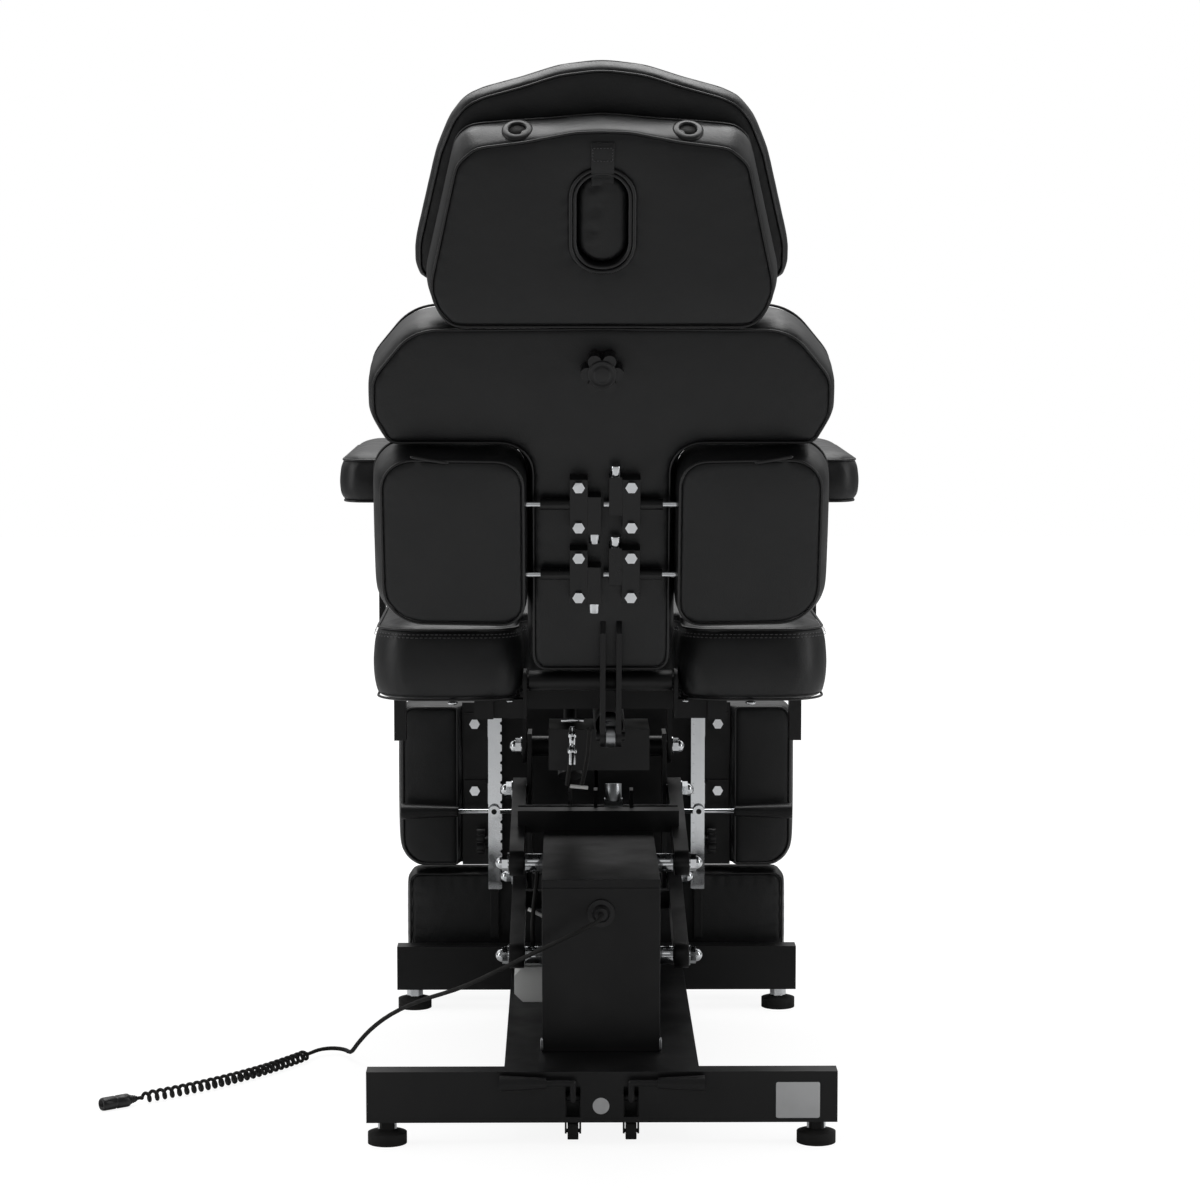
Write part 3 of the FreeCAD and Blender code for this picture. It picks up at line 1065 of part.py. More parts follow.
# Seat cushion with its rear notch
def seat_shape():
    hw, nh = v.seat_half_width, v.notch_half_width
    outline = [(-hw, v.seat_rear), (-nh, v.seat_rear), (-nh, v.seat_rear + v.notch_depth),
               (nh, v.seat_rear + v.notch_depth), (nh, v.seat_rear), (hw, v.seat_rear),
               (hw, v.seat_front), (-hw, v.seat_front)]
    radii = [v.seat_corner, v.seat_corner, v.notch_corner, v.notch_corner, v.seat_corner, v.seat_corner,
             v.seat_front_corner, v.seat_front_corner]
    return pillow(outline, radii, cushion_levels(v.seat_bottom, v.seat_band, v.seat_crown, v.seat_front_corner))


node("seat_cushion", [shaped("seat_pillow", seat_shape())])

# Backrest: pieces are drawn upright from the hinge and then reclined
BACK = ("0", "back_hinge_y", "back_hinge_z")


def back_levels(rear, front, crown, reach):
    """Levels from the flat rear face to the crowned front of an upright cushion."""
    depth = front - rear
    draw, bulge = v.band_draw, v.band_bulge
    return [(rear, draw), (rear + depth * v.foot_share, draw * v.draw_share),
            (rear + depth * v.low_share, -bulge * v.half_share), (rear + depth * v.half_share, -bulge),
            (rear + depth * v.seam_share, 0), (rear + depth, draw * v.half_share),
            (rear + depth + crown * v.half_share, reach * v.reach_start_share), (rear + depth + crown, reach)]


def backrest_shape():
    half = [(v.spine_half_width, v.spine_bottom), (v.spine_half_width, v.wing_bottom),
            (v.wing_half_width - v.wing_lower_corner, v.wing_bottom),
            (v.wing_half_width, v.wing_bottom + 2 * v.wing_lower_corner),
            (v.wing_half_width, v.wing_shoulder),
            (v.wing_half_width - v.wing_upper_corner, v.wing_top), (0, v.back_top)]
    rc = v.back_corner
    radii = [rc, rc, rc, rc, rc * 2, rc * 3, rc * 4]
    radii = radii + list(reversed(radii[:-1]))
    levels = back_levels(-v.back_half_depth, v.back_half_depth, v.back_crown, v.spine_half_width * v.side_share)
    solid = pillow(mirrored_points(half), radii, levels, "XZ")
    gap = v.bar_pocket_gap
    pocket = Part.makeBox(2 * (v.bar_half_width + gap), v.bar_thickness + 2 * gap, v.back_top,
                          Vector(-v.bar_half_width - gap, -gap, v.bar_bottom - gap))
    stem = Part.makeCylinder(v.knob_stem_radius + v.run_gap, v.back_half_depth + v.overrun,
                             Vector(0, 0, v.knob_z), Vector(0, -1, 0))
    return solid.cut(pocket).cut(stem)


node("backrest_cushion", [shaped("backrest_pillow", backrest_shape())], BACK, "recline")

# Hinge tube and lever plates of the backrest
rear_face = "back_half_depth"
lever_side = "(lever_half_gap + lever_plate)"
tip_y = -v.lever_radius * math.sin(math.radians(v.lever_angle + v.recline))
tip_z = -v.lever_radius * math.cos(math.radians(v.lever_angle + v.recline))
bracket = [bar("back_hinge_tube", "X", "back_tube_radius", "2 * back_tube_half", ("-back_tube_half", "0", "0"))]
for edge in (-1, 1):
    plate = padded_outline("lever_plate", [
        (f"-{rear_face}", "lever_top"), (f"-{rear_face} - lever_back", "lever_top - lever_back"),
        (f"-{rear_face} - lever_back", "spine_bottom"),
        (f"{tip_y} - lever_tip_radius * tip_share", f"{tip_z} + lever_tip_radius * tip_rise_share"),
        (f"{tip_y} + lever_tip_radius * tip_share", f"{tip_z} - lever_tip_radius * tip_rise_share"),
        ("back_tube_radius * hub_share", "-back_tube_radius * hub_drop_share"),
        ("0", "back_tube_radius * hub_share"),
        (f"-{rear_face}", "spine_bottom - overrun")], "lever_plate")
    start = "lever_x + lever_half_gap" if edge > 0 else "lever_x - lever_half_gap - lever_plate"
    put(plate, (start, "0", "0"))
    bracket.append(plate)
    bracket.append(bar("lever_tip", "X", "lever_tip_radius", "lever_plate", (start, str(tip_y), str(tip_z))))
bracket.append(bar("lever_bolt", "X", "lever_bolt_radius", f"2 * ({lever_side}) + 2 * hex_height",
                   (f"lever_x - {lever_side} - hex_height", str(tip_y), str(tip_z))))
bracket_bore = bar("back_hinge_bore", "X", "back_pin_radius + run_gap", "2 * back_tube_half + 2 * overrun",
                   ("-back_tube_half - overrun", "0", "0"))
node("backrest_bracket", [cut("backrest_bracket", join("backrest_bracket_blank", bracket), [bracket_bore])], BACK,
     "recline")

# Back motor under the seat and its rod on the lever bolt
bolt_y = v.back_hinge_y - v.lever_radius * math.sin(math.radians(v.lever_angle))
bolt_z = v.back_hinge_z - v.lever_radius * math.cos(math.radians(v.lever_angle))
eye_width = "2 * lever_half_gap - 2 * side_gap"
back_rod = join("back_rod_blank", [
    bar("back_rod_bar", "Y", "back_rod_radius", "back_rod_length - lever_bolt_radius", ("0", "lever_bolt_radius", "0")),
    bar("back_rod_eye", "X", "lever_tip_radius", eye_width, (f"-({eye_width}) / 2", "0", "0"))])
back_rod_neck = [
    block("back_rod_cheek", "back_rod_radius", "3 * lever_tip_radius", "2 * lever_tip_radius",
          (f"{x0}", "-lever_tip_radius", "-lever_tip_radius"))
    for x0 in (f"({eye_width}) / 2", f"-({eye_width}) / 2 - back_rod_radius")]
back_rod_bore = bar("back_rod_bore", "X", "lever_bolt_radius + run_gap", "2 * lever_half_gap + 2 * overrun",
                    ("-lever_half_gap - overrun", "0", "0"))
node("back_motor_rod", [cut("back_rod", back_rod, back_rod_neck + [back_rod_bore])],
     ("lever_x", str(bolt_y), str(bolt_z)))
back_bore_radius = "(back_rod_radius + back_bore_gap)"
back_motor = join("back_motor_blank", [
    bar("back_tube", "Y", f"{back_bore_radius} + back_tube_wall", "back_tube_length",
        ("lever_x", "back_tube_start", "back_motor_z")),
    block("back_gear_box", "back_box_width", "back_box_length", "back_box_height",
          ("-back_box_width / 2", "back_box_rear", "back_box_bottom"))])
back_tube_bore = bar("back_tube_bore", "Y", back_bore_radius, "back_tube_length - back_tube_wall + overrun",
                     ("lever_x", "back_tube_start - overrun", "back_motor_z"))
tube_hangers = [
    block("tube_hanger", "2 * back_rod_radius", end, f"{frame_base} - back_motor_z - {back_bore_radius}",
          ("lever_x - back_rod_radius", start, f"back_motor_z + {back_bore_radius}"))
    for start, end in (("back_tube_start", "frame_rear_bar + frame_tube - back_tube_start"),
                       ("frame_mid_bar", "back_tube_start + back_tube_length - frame_mid_bar"))]
back_motor_with_hangers = join("back_motor_with_hangers", [back_motor] + tube_hangers)
node("back_motor", [cut("back_motor_body", back_motor_with_hangers, [back_tube_bore])])


# Clamps on the spine
def clamp_row(height):
    """Left and right clamp of one pair of rods, with the sleeves."""
    solids = []
    for side in (-1, 1):
        start = "clamp_shift + clamp_inner" if side > 0 else "clamp_shift - clamp_inner - clamp_width"
        plate = block("clamp_plate", "clamp_width", "clamp_depth", "clamp_height",
                      (start, f"-{rear_face} - clamp_depth", f"{height} - clamp_height / 2"))
        inner = "clamp_shift + clamp_inner - clamp_side_width" if side > 0 else "clamp_shift - clamp_inner"
        block_bottom = f"{height} - clamp_side_height * " + ("(1 - block_share)" if side > 0 else "block_share")
        block_side = block("clamp_side", "clamp_side_width", "clamp_side_depth", "clamp_side_height",
                           (inner, f"-{rear_face} - clamp_side_depth", block_bottom))
        sleeve = bar("clamp_sleeve", "X" if side > 0 else "-X", "sleeve_radius",
                     f"sleeve_end - clamp_inner - {side} * clamp_shift",
                     (f"{side} * clamp_inner + clamp_shift", f"-{rear_face} - rod_back", height))
        bore = bar("clamp_bore", "X" if side > 0 else "-X", "pad_rod_radius + run_gap", "sleeve_end + overrun",
                   ("0", f"-{rear_face} - rod_back", height))
        solids.append(cut("clamp", join("clamp_blank", [plate, block_side, sleeve]), [bore]))
    return solids


ROD_HEIGHTS = ("rod_low", "rod_low + rod_pitch")
node("clamp_blocks", [solid for height in ROD_HEIGHTS for solid in clamp_row(height)], BACK, "recline")

bolts = []
for height in ROD_HEIGHTS:
    for side in (-1, 1):
        x = f"clamp_shift + {side} * (clamp_inner + clamp_width / 2)"
        for lift in ("-1", "1"):
            bolts.append(hexagon("clamp_bolt", "-Y", "hex_radius", "hex_height",
                                 (x, f"-{rear_face} - clamp_depth",
                                  f"{height} + {lift} * clamp_bolt_pitch / 2")))
        screw_x = f"clamp_shift + {side} * (clamp_inner - clamp_side_width / 2)"
        top = f"{height} + {side} * clamp_side_height * block_share"
        bolts.append(bar("clamp_screw", "Z" if side > 0 else "-Z", "screw_radius", "screw_height",
                         (screw_x, f"-{rear_face} - clamp_side_depth / 2", top)))
node("clamp_bolts", bolts, BACK, "recline")


# Side pads with their rods
def side_pad(side):
    """One pad and the two rods that slide in its clamps."""
    lo, hi = v.pad_inner, v.pad_outer
    outline = [(lo, v.pad_bottom), (hi, v.pad_bottom + v.band_draw), (hi, v.pad_top), (lo, v.pad_top - v.band_draw)]
    tight = v.pad_corner * v.tight_share
    radii = [tight, v.pad_corner * v.wide_share, v.pad_corner, tight]
    solid = pillow(outline, radii, back_levels(-v.pad_rear, v.pad_front - v.pad_crown, v.pad_crown,
                                               v.pad_corner * v.spread_share), "XZ")
    for height in (v.rod_low, v.rod_low + v.rod_pitch):
        bore = Part.makeCylinder(v.pad_rod_radius, v.rod_in_pad + v.overrun,
                                 Vector(lo - v.overrun, -v.back_half_depth - v.rod_back, height), X_AXIS)
        solid = solid.cut(bore)
    name = side_name(side)
    node(f"side_pad_{name}", [shaped("side_pillow", solid if side > 0 else mirrored(solid))], BACK, "recline")
    rods = [bar("pad_rod", "X" if side > 0 else "-X", "pad_rod_radius", "pad_inner + rod_in_pad - rod_tip",
                (f"{side} * rod_tip", f"-{rear_face} - rod_back", height)) for height in ROD_HEIGHTS]
    node(f"side_rods_{name}", rods, BACK, "recline")


for side in (-1, 1):
    side_pad(side)

# Headrest bar with its yoke plate, and the star knob that locks it
tongue = block("headrest_tongue", "2 * bar_half_width", "bar_thickness", "yoke_bottom - bar_bottom + overrun",
               ("-bar_half_width", "0", "bar_bottom"))
yoke = block("headrest_yoke", "2 * yoke_half_width", "bar_thickness", "yoke_top - yoke_bottom",
             ("-yoke_half_width", "0", "yoke_bottom"))
window = block("yoke_window", "2 * (hole_half_width + window_rim)", "bar_thickness + 2 * overrun",
               "2 * (hole_half_height + window_rim)",
               ("-hole_half_width - window_rim", "-overrun", "hole_z - hole_half_height - window_rim"))
node("headrest_bar", [cut("headrest_plate", join("headrest_blank", [tongue, yoke]), [window])], BACK, "recline")


def star(name, axis, radius, lobe, height, count, at):
    """A hub with lobes round it."""
    pieces = []
    hub = bar(f"{name}_hub", "Z", f"{radius} - {lobe}", height, ("0", "0", "0"))
    pieces.append(hub)
    for k in range(count):
        turn = math.radians(360 * k / count)
        pieces.append(bar(f"{name}_lobe", "Z", lobe, height,
                          (f"({radius} - {lobe}) * {math.cos(turn):.6f}",
                           f"({radius} - {lobe}) * {math.sin(turn):.6f}", "0")))
    blank = join(f"{name}_blank", pieces)
    blank.Placement.Rotation = FLIP_TO[axis[1]] if axis[0] == "-" else TURN_TO[axis]
    return put(blank, at)


collar_start = f"-{rear_face} - soft_gap"
head_knob = join("head_knob", [
    bar("knob_stem", "-Y", "knob_stem_radius", f"{rear_face} + knob_collar", ("0", "-soft_gap", "knob_z")),
    bar("knob_collar", "-Y", "knob_collar_radius", "knob_collar", ("0", collar_start, "knob_z")),
    star("head_star", "-Y", "knob_radius", "knob_lobe_radius", "knob_height", 6,
         ("0", f"{collar_start} - knob_collar", "knob_z"))])
node("headrest_knob", [head_knob], BACK, "recline")


# Face cushion, its plug and the arched pad
def stadium(half_width, half_height, depth, start):
    """An upright round-ended prism at the face hole."""
    straight = half_height - half_width
    solid = Part.makeBox(2 * half_width, depth, 2 * straight, Vector(-half_width, start, v.hole_z - straight))
    for end in (-straight, straight):
        solid = solid.fuse(Part.makeCylinder(half_width, depth, Vector(0, start, v.hole_z + end), Y_AXIS))
    return solid.removeSplitter()


def face_cushion_shape():
    half = [(v.head_half_bottom, v.head_bottom), (v.head_half_width, v.head_widest), (v.head_half_top, v.head_top),
            (0, v.head_top_middle)]
    rc = v.head_corner
    radii = [rc, rc * 2, rc, rc * 8, rc, rc * 2, rc]
    levels = back_levels(-v.head_depth, -v.soft_gap - v.pad_crown, v.pad_crown, v.head_corner)
    solid = pillow(mirrored_points(half), radii, levels, "XZ")
    return solid.cut(stadium(v.hole_half_width, v.hole_half_height, v.head_depth + 2 * v.overrun,
                             -v.head_depth - v.overrun))


node("face_cushion", [shaped("face_pillow", face_cushion_shape())], BACK, "recline")


def face_plug_shape():
    narrow = v.plug_side_gap + v.band_bulge
    hw, hh = v.hole_half_width - narrow, v.hole_half_height - narrow
    outline = [(-hw, v.hole_z - hh), (hw, v.hole_z - hh), (hw, v.hole_z + hh), (-hw, v.hole_z + hh)]
    rear = -v.head_depth + v.plug_recess
    levels = back_levels(rear, rear + v.plug_depth - v.pad_crown, v.pad_crown, hw * v.plug_share)
    return pillow(outline, [hw * v.round_share] * len(outline), levels, "XZ")


node("face_plug", [shaped("plug_pillow", face_plug_shape())], BACK, "recline")


def arch_shape():
    mouth = v.arch_mouth_half
    shoulder = v.arch_wide + v.arch_shoulder_rise
    upper = shoulder + v.arch_upper_rise
    bow = upper + v.arch_bow_rise
    right = [(mouth, v.arch_bottom), (v.arch_half_width, v.arch_bottom), (v.arch_half_width, v.arch_wide),
             (v.arch_half_shoulder, shoulder), (v.arch_half_upper, upper), (v.arch_half_bow, bow),
             (0, bow + v.arch_top_rise)]
    inner = [(-mouth, v.arch_bottom), (-mouth, v.arch_mouth_top), (mouth, v.arch_mouth_top)]
    left = [(-x, y) for x, y in reversed(right[1:-1])]
    rc = v.arch_corner
    radii = [rc, rc, rc * 2, rc * 3, rc * 2, rc * 4, rc * 6, rc * 4, rc * 2, rc * 3, rc * 2, rc, rc]
    radii += [rc * v.wide_share] * 2
    rear = v.bar_thickness + v.soft_gap
    return pillow(right + left + inner, radii, back_levels(rear, rear + v.arch_depth - v.back_crown, v.back_crown,
                                                           v.arch_corner), "XZ")


node("arch_pad", [shaped("arch_pillow", arch_shape())], BACK, "recline")


# Armrests
def armrest(side):
    """The bracket on the seat frame and the pad that swivels on its post."""
    name = side_name(side)
    x = f"{side} * armrest_post_x"
    outrigger_start = "frame_rail_x + frame_tube" if side > 0 else "-armrest_post_x - armrest_bar / 2"
    tab_start = "armrest_tab_x" if side > 0 else "-armrest_tab_x - armrest_tab"
    pieces = [
        block("outrigger", "armrest_post_x + armrest_bar / 2 - frame_rail_x - frame_tube", "frame_tube",
              "frame_tube", (outrigger_start, "armrest_post_y - frame_tube / 2", frame_base)),
        block("upright", "armrest_bar", "armrest_bar_width", f"armrest_bar_top - seat_bottom + frame_tube",
              (f"{x} - armrest_bar / 2", "armrest_post_y - armrest_bar_width / 2", frame_base)),
        bar("armrest_collar", "Z", "armrest_post_radius * collar_share", "armrest_bottom - armrest_bar_top - soft_gap",
            (x, "armrest_post_y", "armrest_bar_top")),
        bar("armrest_post", "Z", "armrest_post_radius", "armrest_bottom - armrest_bar_top + armrest_socket",
            (x, "armrest_post_y", "armrest_bar_top")),
        block("bracket_socket", "armrest_tab", "armrest_tab_width", "armrest_tab_height",
              (tab_start, "armrest_post_y - armrest_tab_width / 2", f"{frame_base} - armrest_tab_height"))]
    node(f"armrest_bracket_{name}", [join("armrest_bracket", pieces)])
    outline = [(v.armrest_post_x - v.armrest_half_width, v.armrest_rear),
               (v.armrest_post_x + v.armrest_half_width, v.armrest_rear),
               (v.armrest_post_x + v.armrest_half_width, v.armrest_rear + v.armrest_length),
               (v.armrest_post_x - v.armrest_half_width, v.armrest_rear + v.armrest_length)]
    solid = pillow(outline, [v.armrest_corner] * len(outline),
                   cushion_levels(v.armrest_bottom, v.armrest_height, v.armrest_crown, v.armrest_corner))
    socket = Part.makeCylinder(v.armrest_post_radius + v.run_gap, v.armrest_socket + v.overrun + v.soft_gap,
                               Vector(v.armrest_post_x, v.armrest_post_y, v.armrest_bottom - v.overrun))
    solid = solid.cut(socket)
    node(f"armrest_pad_{name}", [shaped("armrest_pillow", solid if side > 0 else mirrored(solid))])


for side in (-1, 1):
    armrest(side)


# Leg rests
def leg_rest(side):
    """Rail, board, cushion, release lever, knob, extension bar and foot pad of one side."""
    name = side_name(side)
    rail_middle = f"{side} * rail_x"
    rail_front = "rail_rear + rail_width"
    out = "X" if side > 0 else "-X"
    rail_outer = block("rail", "rail_width", "rail_width", "rail_top - rail_bottom",
                       (f"{rail_middle} - rail_width / 2", "rail_rear", "rail_bottom"))
    rail_inner = block("rail_inner", "rail_width - 2 * rail_wall", "rail_width - 2 * rail_wall",
                       "rail_top - rail_bottom", (f"{rail_middle} - rail_width / 2 + rail_wall",
                                                 "rail_rear + rail_wall", "rail_bottom - rail_wall"))
    lug = padded_outline("leg_lug", [
        ("leg_hinge_y - leg_lug_radius", "leg_hinge_z"), ("leg_hinge_y + leg_lug_radius", "leg_hinge_z"),
        (rail_front, "rail_top - rail_wall"), ("rail_rear", "rail_top - rail_wall")], "leg_lug")
    put(lug, (f"{rail_middle} - leg_lug / 2", "0", "0"))
    lug_end = bar("leg_lug_end", "X", "leg_lug_radius", "leg_lug", (f"{rail_middle} - leg_lug / 2",
                                                                  "leg_hinge_y", "leg_hinge_z"))
    board_start = "board_inner" if side > 0 else "-board_outer"
    board = block("leg_board", "board_outer - board_inner", "board_thickness", "board_top - board_bottom",
                  (board_start, "board_rear", "board_bottom"))
    web_start = "rail_x + rail_width / 2" if side > 0 else "-rail_x - rail_width / 2 - bracket_plate"
    flange_start = "rail_x + rail_width / 2" if side > 0 else "-rail_x - rail_width / 2 - bracket_width"
    pieces = [rail_outer, lug, lug_end, board]
    for height in ("bracket_z", "board_top - bracket_height"):
        pieces.append(block("bracket_web", "bracket_plate", "board_rear - rail_rear", "bracket_height",
                            (web_start, "rail_rear", f"{height} - bracket_height / 2")))
        pieces.append(block("bracket_flange", "bracket_width", "bracket_plate", "bracket_height",
                            (flange_start, "board_rear - bracket_plate", f"{height} - bracket_height / 2")))
        pieces.append(hexagon("bracket_bolt", "-Y", "hex_radius", "hex_height",
                              (f"{side} * (rail_x + rail_width / 2 + bracket_width - 2 * hex_radius)",
                               "board_rear - bracket_plate", height)))
    pieces.append(bar("release_pin", "-Y", "release_pin_radius", "release_hub_depth + side_gap",
                      (rail_middle, "rail_rear", "release_z")))
    holes = [rail_inner,
             bar("leg_bore", "X", "leg_pin_radius + run_gap", "leg_lug + 2 * overrun",
                 (f"{rail_middle} - leg_lug / 2 - overrun", "leg_hinge_y", "leg_hinge_z")),
             bar("side_knob_bore", out, "side_knob_stem + run_gap", "rail_width / 2 + overrun",
                 (rail_middle, "rail_rear + rail_width / 2", "side_knob_z"))]
    node(f"leg_frame_{name}", [cut("leg_frame", join("leg_frame_blank", pieces), holes)])

    front, back = v.board_rear + v.board_thickness, v.board_rear + v.board_thickness - v.leg_pad_back
    whole = [(v.board_inner, v.board_bottom), (v.leg_pad_outer, v.board_bottom), (v.leg_pad_outer, v.board_top),
             (v.board_inner, v.board_top)]
    inner_corner = v.leg_corner * v.half_share
    radii = [inner_corner, v.leg_corner, v.leg_corner, inner_corner]
    main = pillow(whole, radii, back_levels(front, front + v.leg_pad_depth - v.leg_crown, v.leg_crown,
                                            v.leg_corner), "XZ")
    outer = [(v.board_outer + v.soft_gap, v.board_bottom), (v.leg_pad_outer, v.board_bottom),
             (v.leg_pad_outer, v.board_top), (v.board_outer + v.soft_gap, v.board_top)]
    wrap_levels = [(back, v.band_draw), (back + v.band_draw, v.band_draw * v.wrap_share), (front + v.band_draw, 0)]
    wrap_corner = v.leg_corner * v.tightest_share
    wrap = pillow(outer, [wrap_corner, v.leg_corner, v.leg_corner, wrap_corner], wrap_levels, "XZ")
    solid = main.fuse(wrap)
    node(f"leg_cushion_{name}", [shaped("leg_pillow", solid if side > 0 else mirrored(solid))])

    lever_y = "rail_rear - side_gap / 2 - release_hub_depth"
    rod_y = "rail_rear - side_gap / 2 - release_hub_depth / 2"
    lever = join("release_lever_blank", [
        bar("release_hub", "Y", "release_hub_radius", "release_hub_depth", (rail_middle, lever_y, "release_z")),
        bar("release_rod", out, "release_rod_radius", "release_grip_start - release_inner",
            (f"{side} * release_inner", rod_y, "release_z")),
        taper("release_grip", out, "release_grip_neck", "release_grip_radius",
              "release_grip_end - release_grip_start", (f"{side} * release_grip_start", rod_y, "release_z"))])
    lever_bore = bar("release_bore", "Y", "release_pin_radius + run_gap", "release_hub_depth + 2 * overrun",
                     (rail_middle, f"{lever_y} - overrun", "release_z"))
    node(f"release_lever_{name}", [cut("release_lever", lever, [lever_bore])])

    knob_y = "rail_rear + rail_width / 2"
    knob_face = f"{side} * (rail_x + rail_width / 2 + soft_gap)"
    stem_start = f"{side} * (rail_x + foot_bar_width / 2 + soft_gap)"
    knob = join("side_knob", [
        bar("side_knob_stem", out, "side_knob_stem", "rail_width / 2 - foot_bar_width / 2 + side_knob_stem",
            (stem_start, knob_y, "side_knob_z")),
        bar("side_knob_neck", out, "side_knob_stem * neck_share", "side_knob_stem", (knob_face, knob_y, "side_knob_z")),
        star("side_star", out, "side_knob_radius", "side_knob_lobe_radius", "side_knob_height", 6,
             (f"{side} * (rail_x + rail_width / 2 + soft_gap + side_knob_stem)", knob_y, "side_knob_z"))])
    node(f"leg_knob_{name}", [knob])

    slide = block("foot_bar", "foot_bar_width", "foot_bar_width", "foot_bar_top - foot_bar_bottom",
                  (f"{rail_middle} - foot_bar_width / 2", "rail_rear + rail_width / 2 - foot_bar_width / 2",
                   "foot_bar_bottom"))
    link = block("foot_plate", "foot_bar_width",
                 "foot_pad_rear - rail_rear - rail_width / 2", "foot_plate_height",
                 (f"{rail_middle} - foot_bar_width / 2", "rail_rear + rail_width / 2", "foot_bar_bottom"))
    node(f"foot_bar_{name}", [join("foot_bar_with_plate", [slide, link])])

    foot = [(v.foot_pad_inner, v.foot_pad_bottom), (v.foot_pad_outer, v.foot_pad_bottom),
            (v.foot_pad_outer, v.foot_pad_top), (v.foot_pad_inner, v.foot_pad_top)]
    foot_solid = pillow(foot, [v.leg_corner * v.tight_share] * len(foot),
                        back_levels(v.foot_pad_rear, v.foot_pad_rear + v.foot_pad_depth - v.leg_crown,
                                    v.leg_crown, v.leg_corner), "XZ")
    node(f"foot_pad_{name}", [shaped("foot_pillow", foot_solid if side > 0 else mirrored(foot_solid))])


for side in (-1, 1):
    leg_rest(side)


# Free cord: the straight lead from the gland, its curls on the floor and the plug
LEAD_ROUTE = [(0, 112, 276), (0, 88, 275), (-12, 68, 271), (-38, 62, 259), (-80, 88, 234), (-132, 146, 196),
              (-186, 214, 154), (-238, 286, 113), (-282, 350, 76), (-315, 400, 43), (-338, 434, 20)]
LEAD_HOOK = [(-349, 460), (-358, 484), (-376, 494), (-395, 486), (-407, 462)]
CURLS_END = (-615, 211)


def tube(path, radius):
    """A round tube along a path of tangent edges."""
    first = path.OrderedEdges[0]
    start = first.valueAt(first.FirstParameter)
    way = first.tangentAt(first.FirstParameter)
    profile = Part.Wire([Part.makeCircle(radius, start, way)])
    solid = path.makePipeShell([profile], True, False)
    return solid if solid.Volume > 0 else solid.reversed()


def filleted_route(points):
    """Straight runs joined by tangent arcs as large as the runs allow."""
    edges, radii, start = [], [], points[0]
    for before, here, after in zip(points, points[1:], points[2:]):
        back, on = before - here, after - here
        half = (math.pi - back.getAngle(on)) / 2
        radius = v.arc_share * min(back.Length, on.Length) / math.tan(half)
        reach = radius * math.tan(half)
        back.normalize()
        on.normalize()
        centre_way = (back + on).normalize()
        middle = here + centre_way * (radius / math.cos(half) - radius)
        edges.append(Part.LineSegment(start, here + back * reach).toShape())
        edges.append(Part.Arc(here + back * reach, middle, here + on * reach).toShape())
        start = here + on * reach
        radii.append(radius)
    edges.append(Part.LineSegment(start, points[-1]).toShape())
    return Part.Wire(edges), radii


def arc_between(start, corner, end):
    """An arc that leaves start towards corner and reaches end from it."""
    chord_middle = (start + end) / 2
    rise = corner - chord_middle
    if rise.Length < 1e-9:
        return Part.LineSegment(start, end).toShape()
    half_chord = (end - start).Length / 2
    lift = half_chord * math.tan(math.atan2(rise.Length, half_chord) / 2)
    return Part.Arc(start, chord_middle + rise.normalize() * lift, end).toShape()


def biarc(p0, t0, p1, t1):
    """Two arcs that join two points with given directions."""
    across = p1 - p0
    a = 2 * t0.dot(t1) - 2
    b = -2 * across.dot(t0 + t1)
    c = across.dot(across)
    reach = -c / b if abs(a) < 1e-12 else (-b - math.sqrt(b * b - 4 * a * c)) / (2 * a)
    c0, c1 = p0 + t0 * reach, p1 - t1 * reach
    joint = (c0 + c1) / 2
    return [arc_between(p0, c0, joint), arc_between(joint, c1, p1)]


def curl_axis(start, heading, end):
    """The arc on the floor that leaves start along a heading and reaches end."""
    chord = end - start
    bend = heading.getAngle(chord)
    right = heading.cross(chord).z < 0
    radius = chord.Length / (2 * math.sin(bend))
    normal = Vector(heading.y, -heading.x, 0) if right else Vector(-heading.y, heading.x, 0)
    centre = start + normal * radius
    return centre, radius, 2 * bend, -1 if right else 1


def curls(start, heading, end):
    """The middle line of the curls and its points, swelling from the axis at both ends."""
    centre, radius, sweep, sign = curl_axis(start, heading, end)
    turns = round(radius * sweep / v.curl_pitch)
    outward = (start - centre).normalize()

    def place(turn):
        done = turn / turns
        way = Rotation(Z_AXIS, math.degrees(sign * sweep * done)).multVec(outward)
        swell = min(turn, turns - turn, 1)
        swell = swell * swell * (3 - 2 * swell)
        angle = 2 * math.pi * turn
        radial = radius + v.curl_radius * swell * math.cos(angle)
        return centre + way * radial + Z_AXIS * (v.curl_radius * swell * math.sin(angle))

    def direction(turn):
        step = 1e-4
        low, high = max(turn - step, 0), min(turn + step, turns)
        return (place(high) - place(low)).normalize()

    quarter_turns = [k / 4 for k in range(4 * turns + 1)]
    edges = []
    for first, second in zip(quarter_turns, quarter_turns[1:]):
        edges += biarc(place(first), direction(first), place(second), direction(second))
    points = [place(k / 24) for k in range(24 * turns + 1)]
    return edges, points, direction(0), direction(turns), turns


floor_line = v.plug_radius + v.plug_floor_gap
lead_points = [Vector(*p) for p in LEAD_ROUTE] + [Vector(x, y, floor_line) for x, y in LEAD_HOOK]
lead_path, lead_radii = filleted_route(lead_points)
lead = tube(lead_path, v.cord_radius)
volume_share = lead.Volume / (math.pi * v.cord_radius ** 2 * lead_path.Length)
print("lead radii", [round(r, 1) for r in lead_radii], "length", round(lead_path.Length, 1), "volume share",
      round(volume_share, 4))
node("cord_lead", [shaped("lead", lead)])

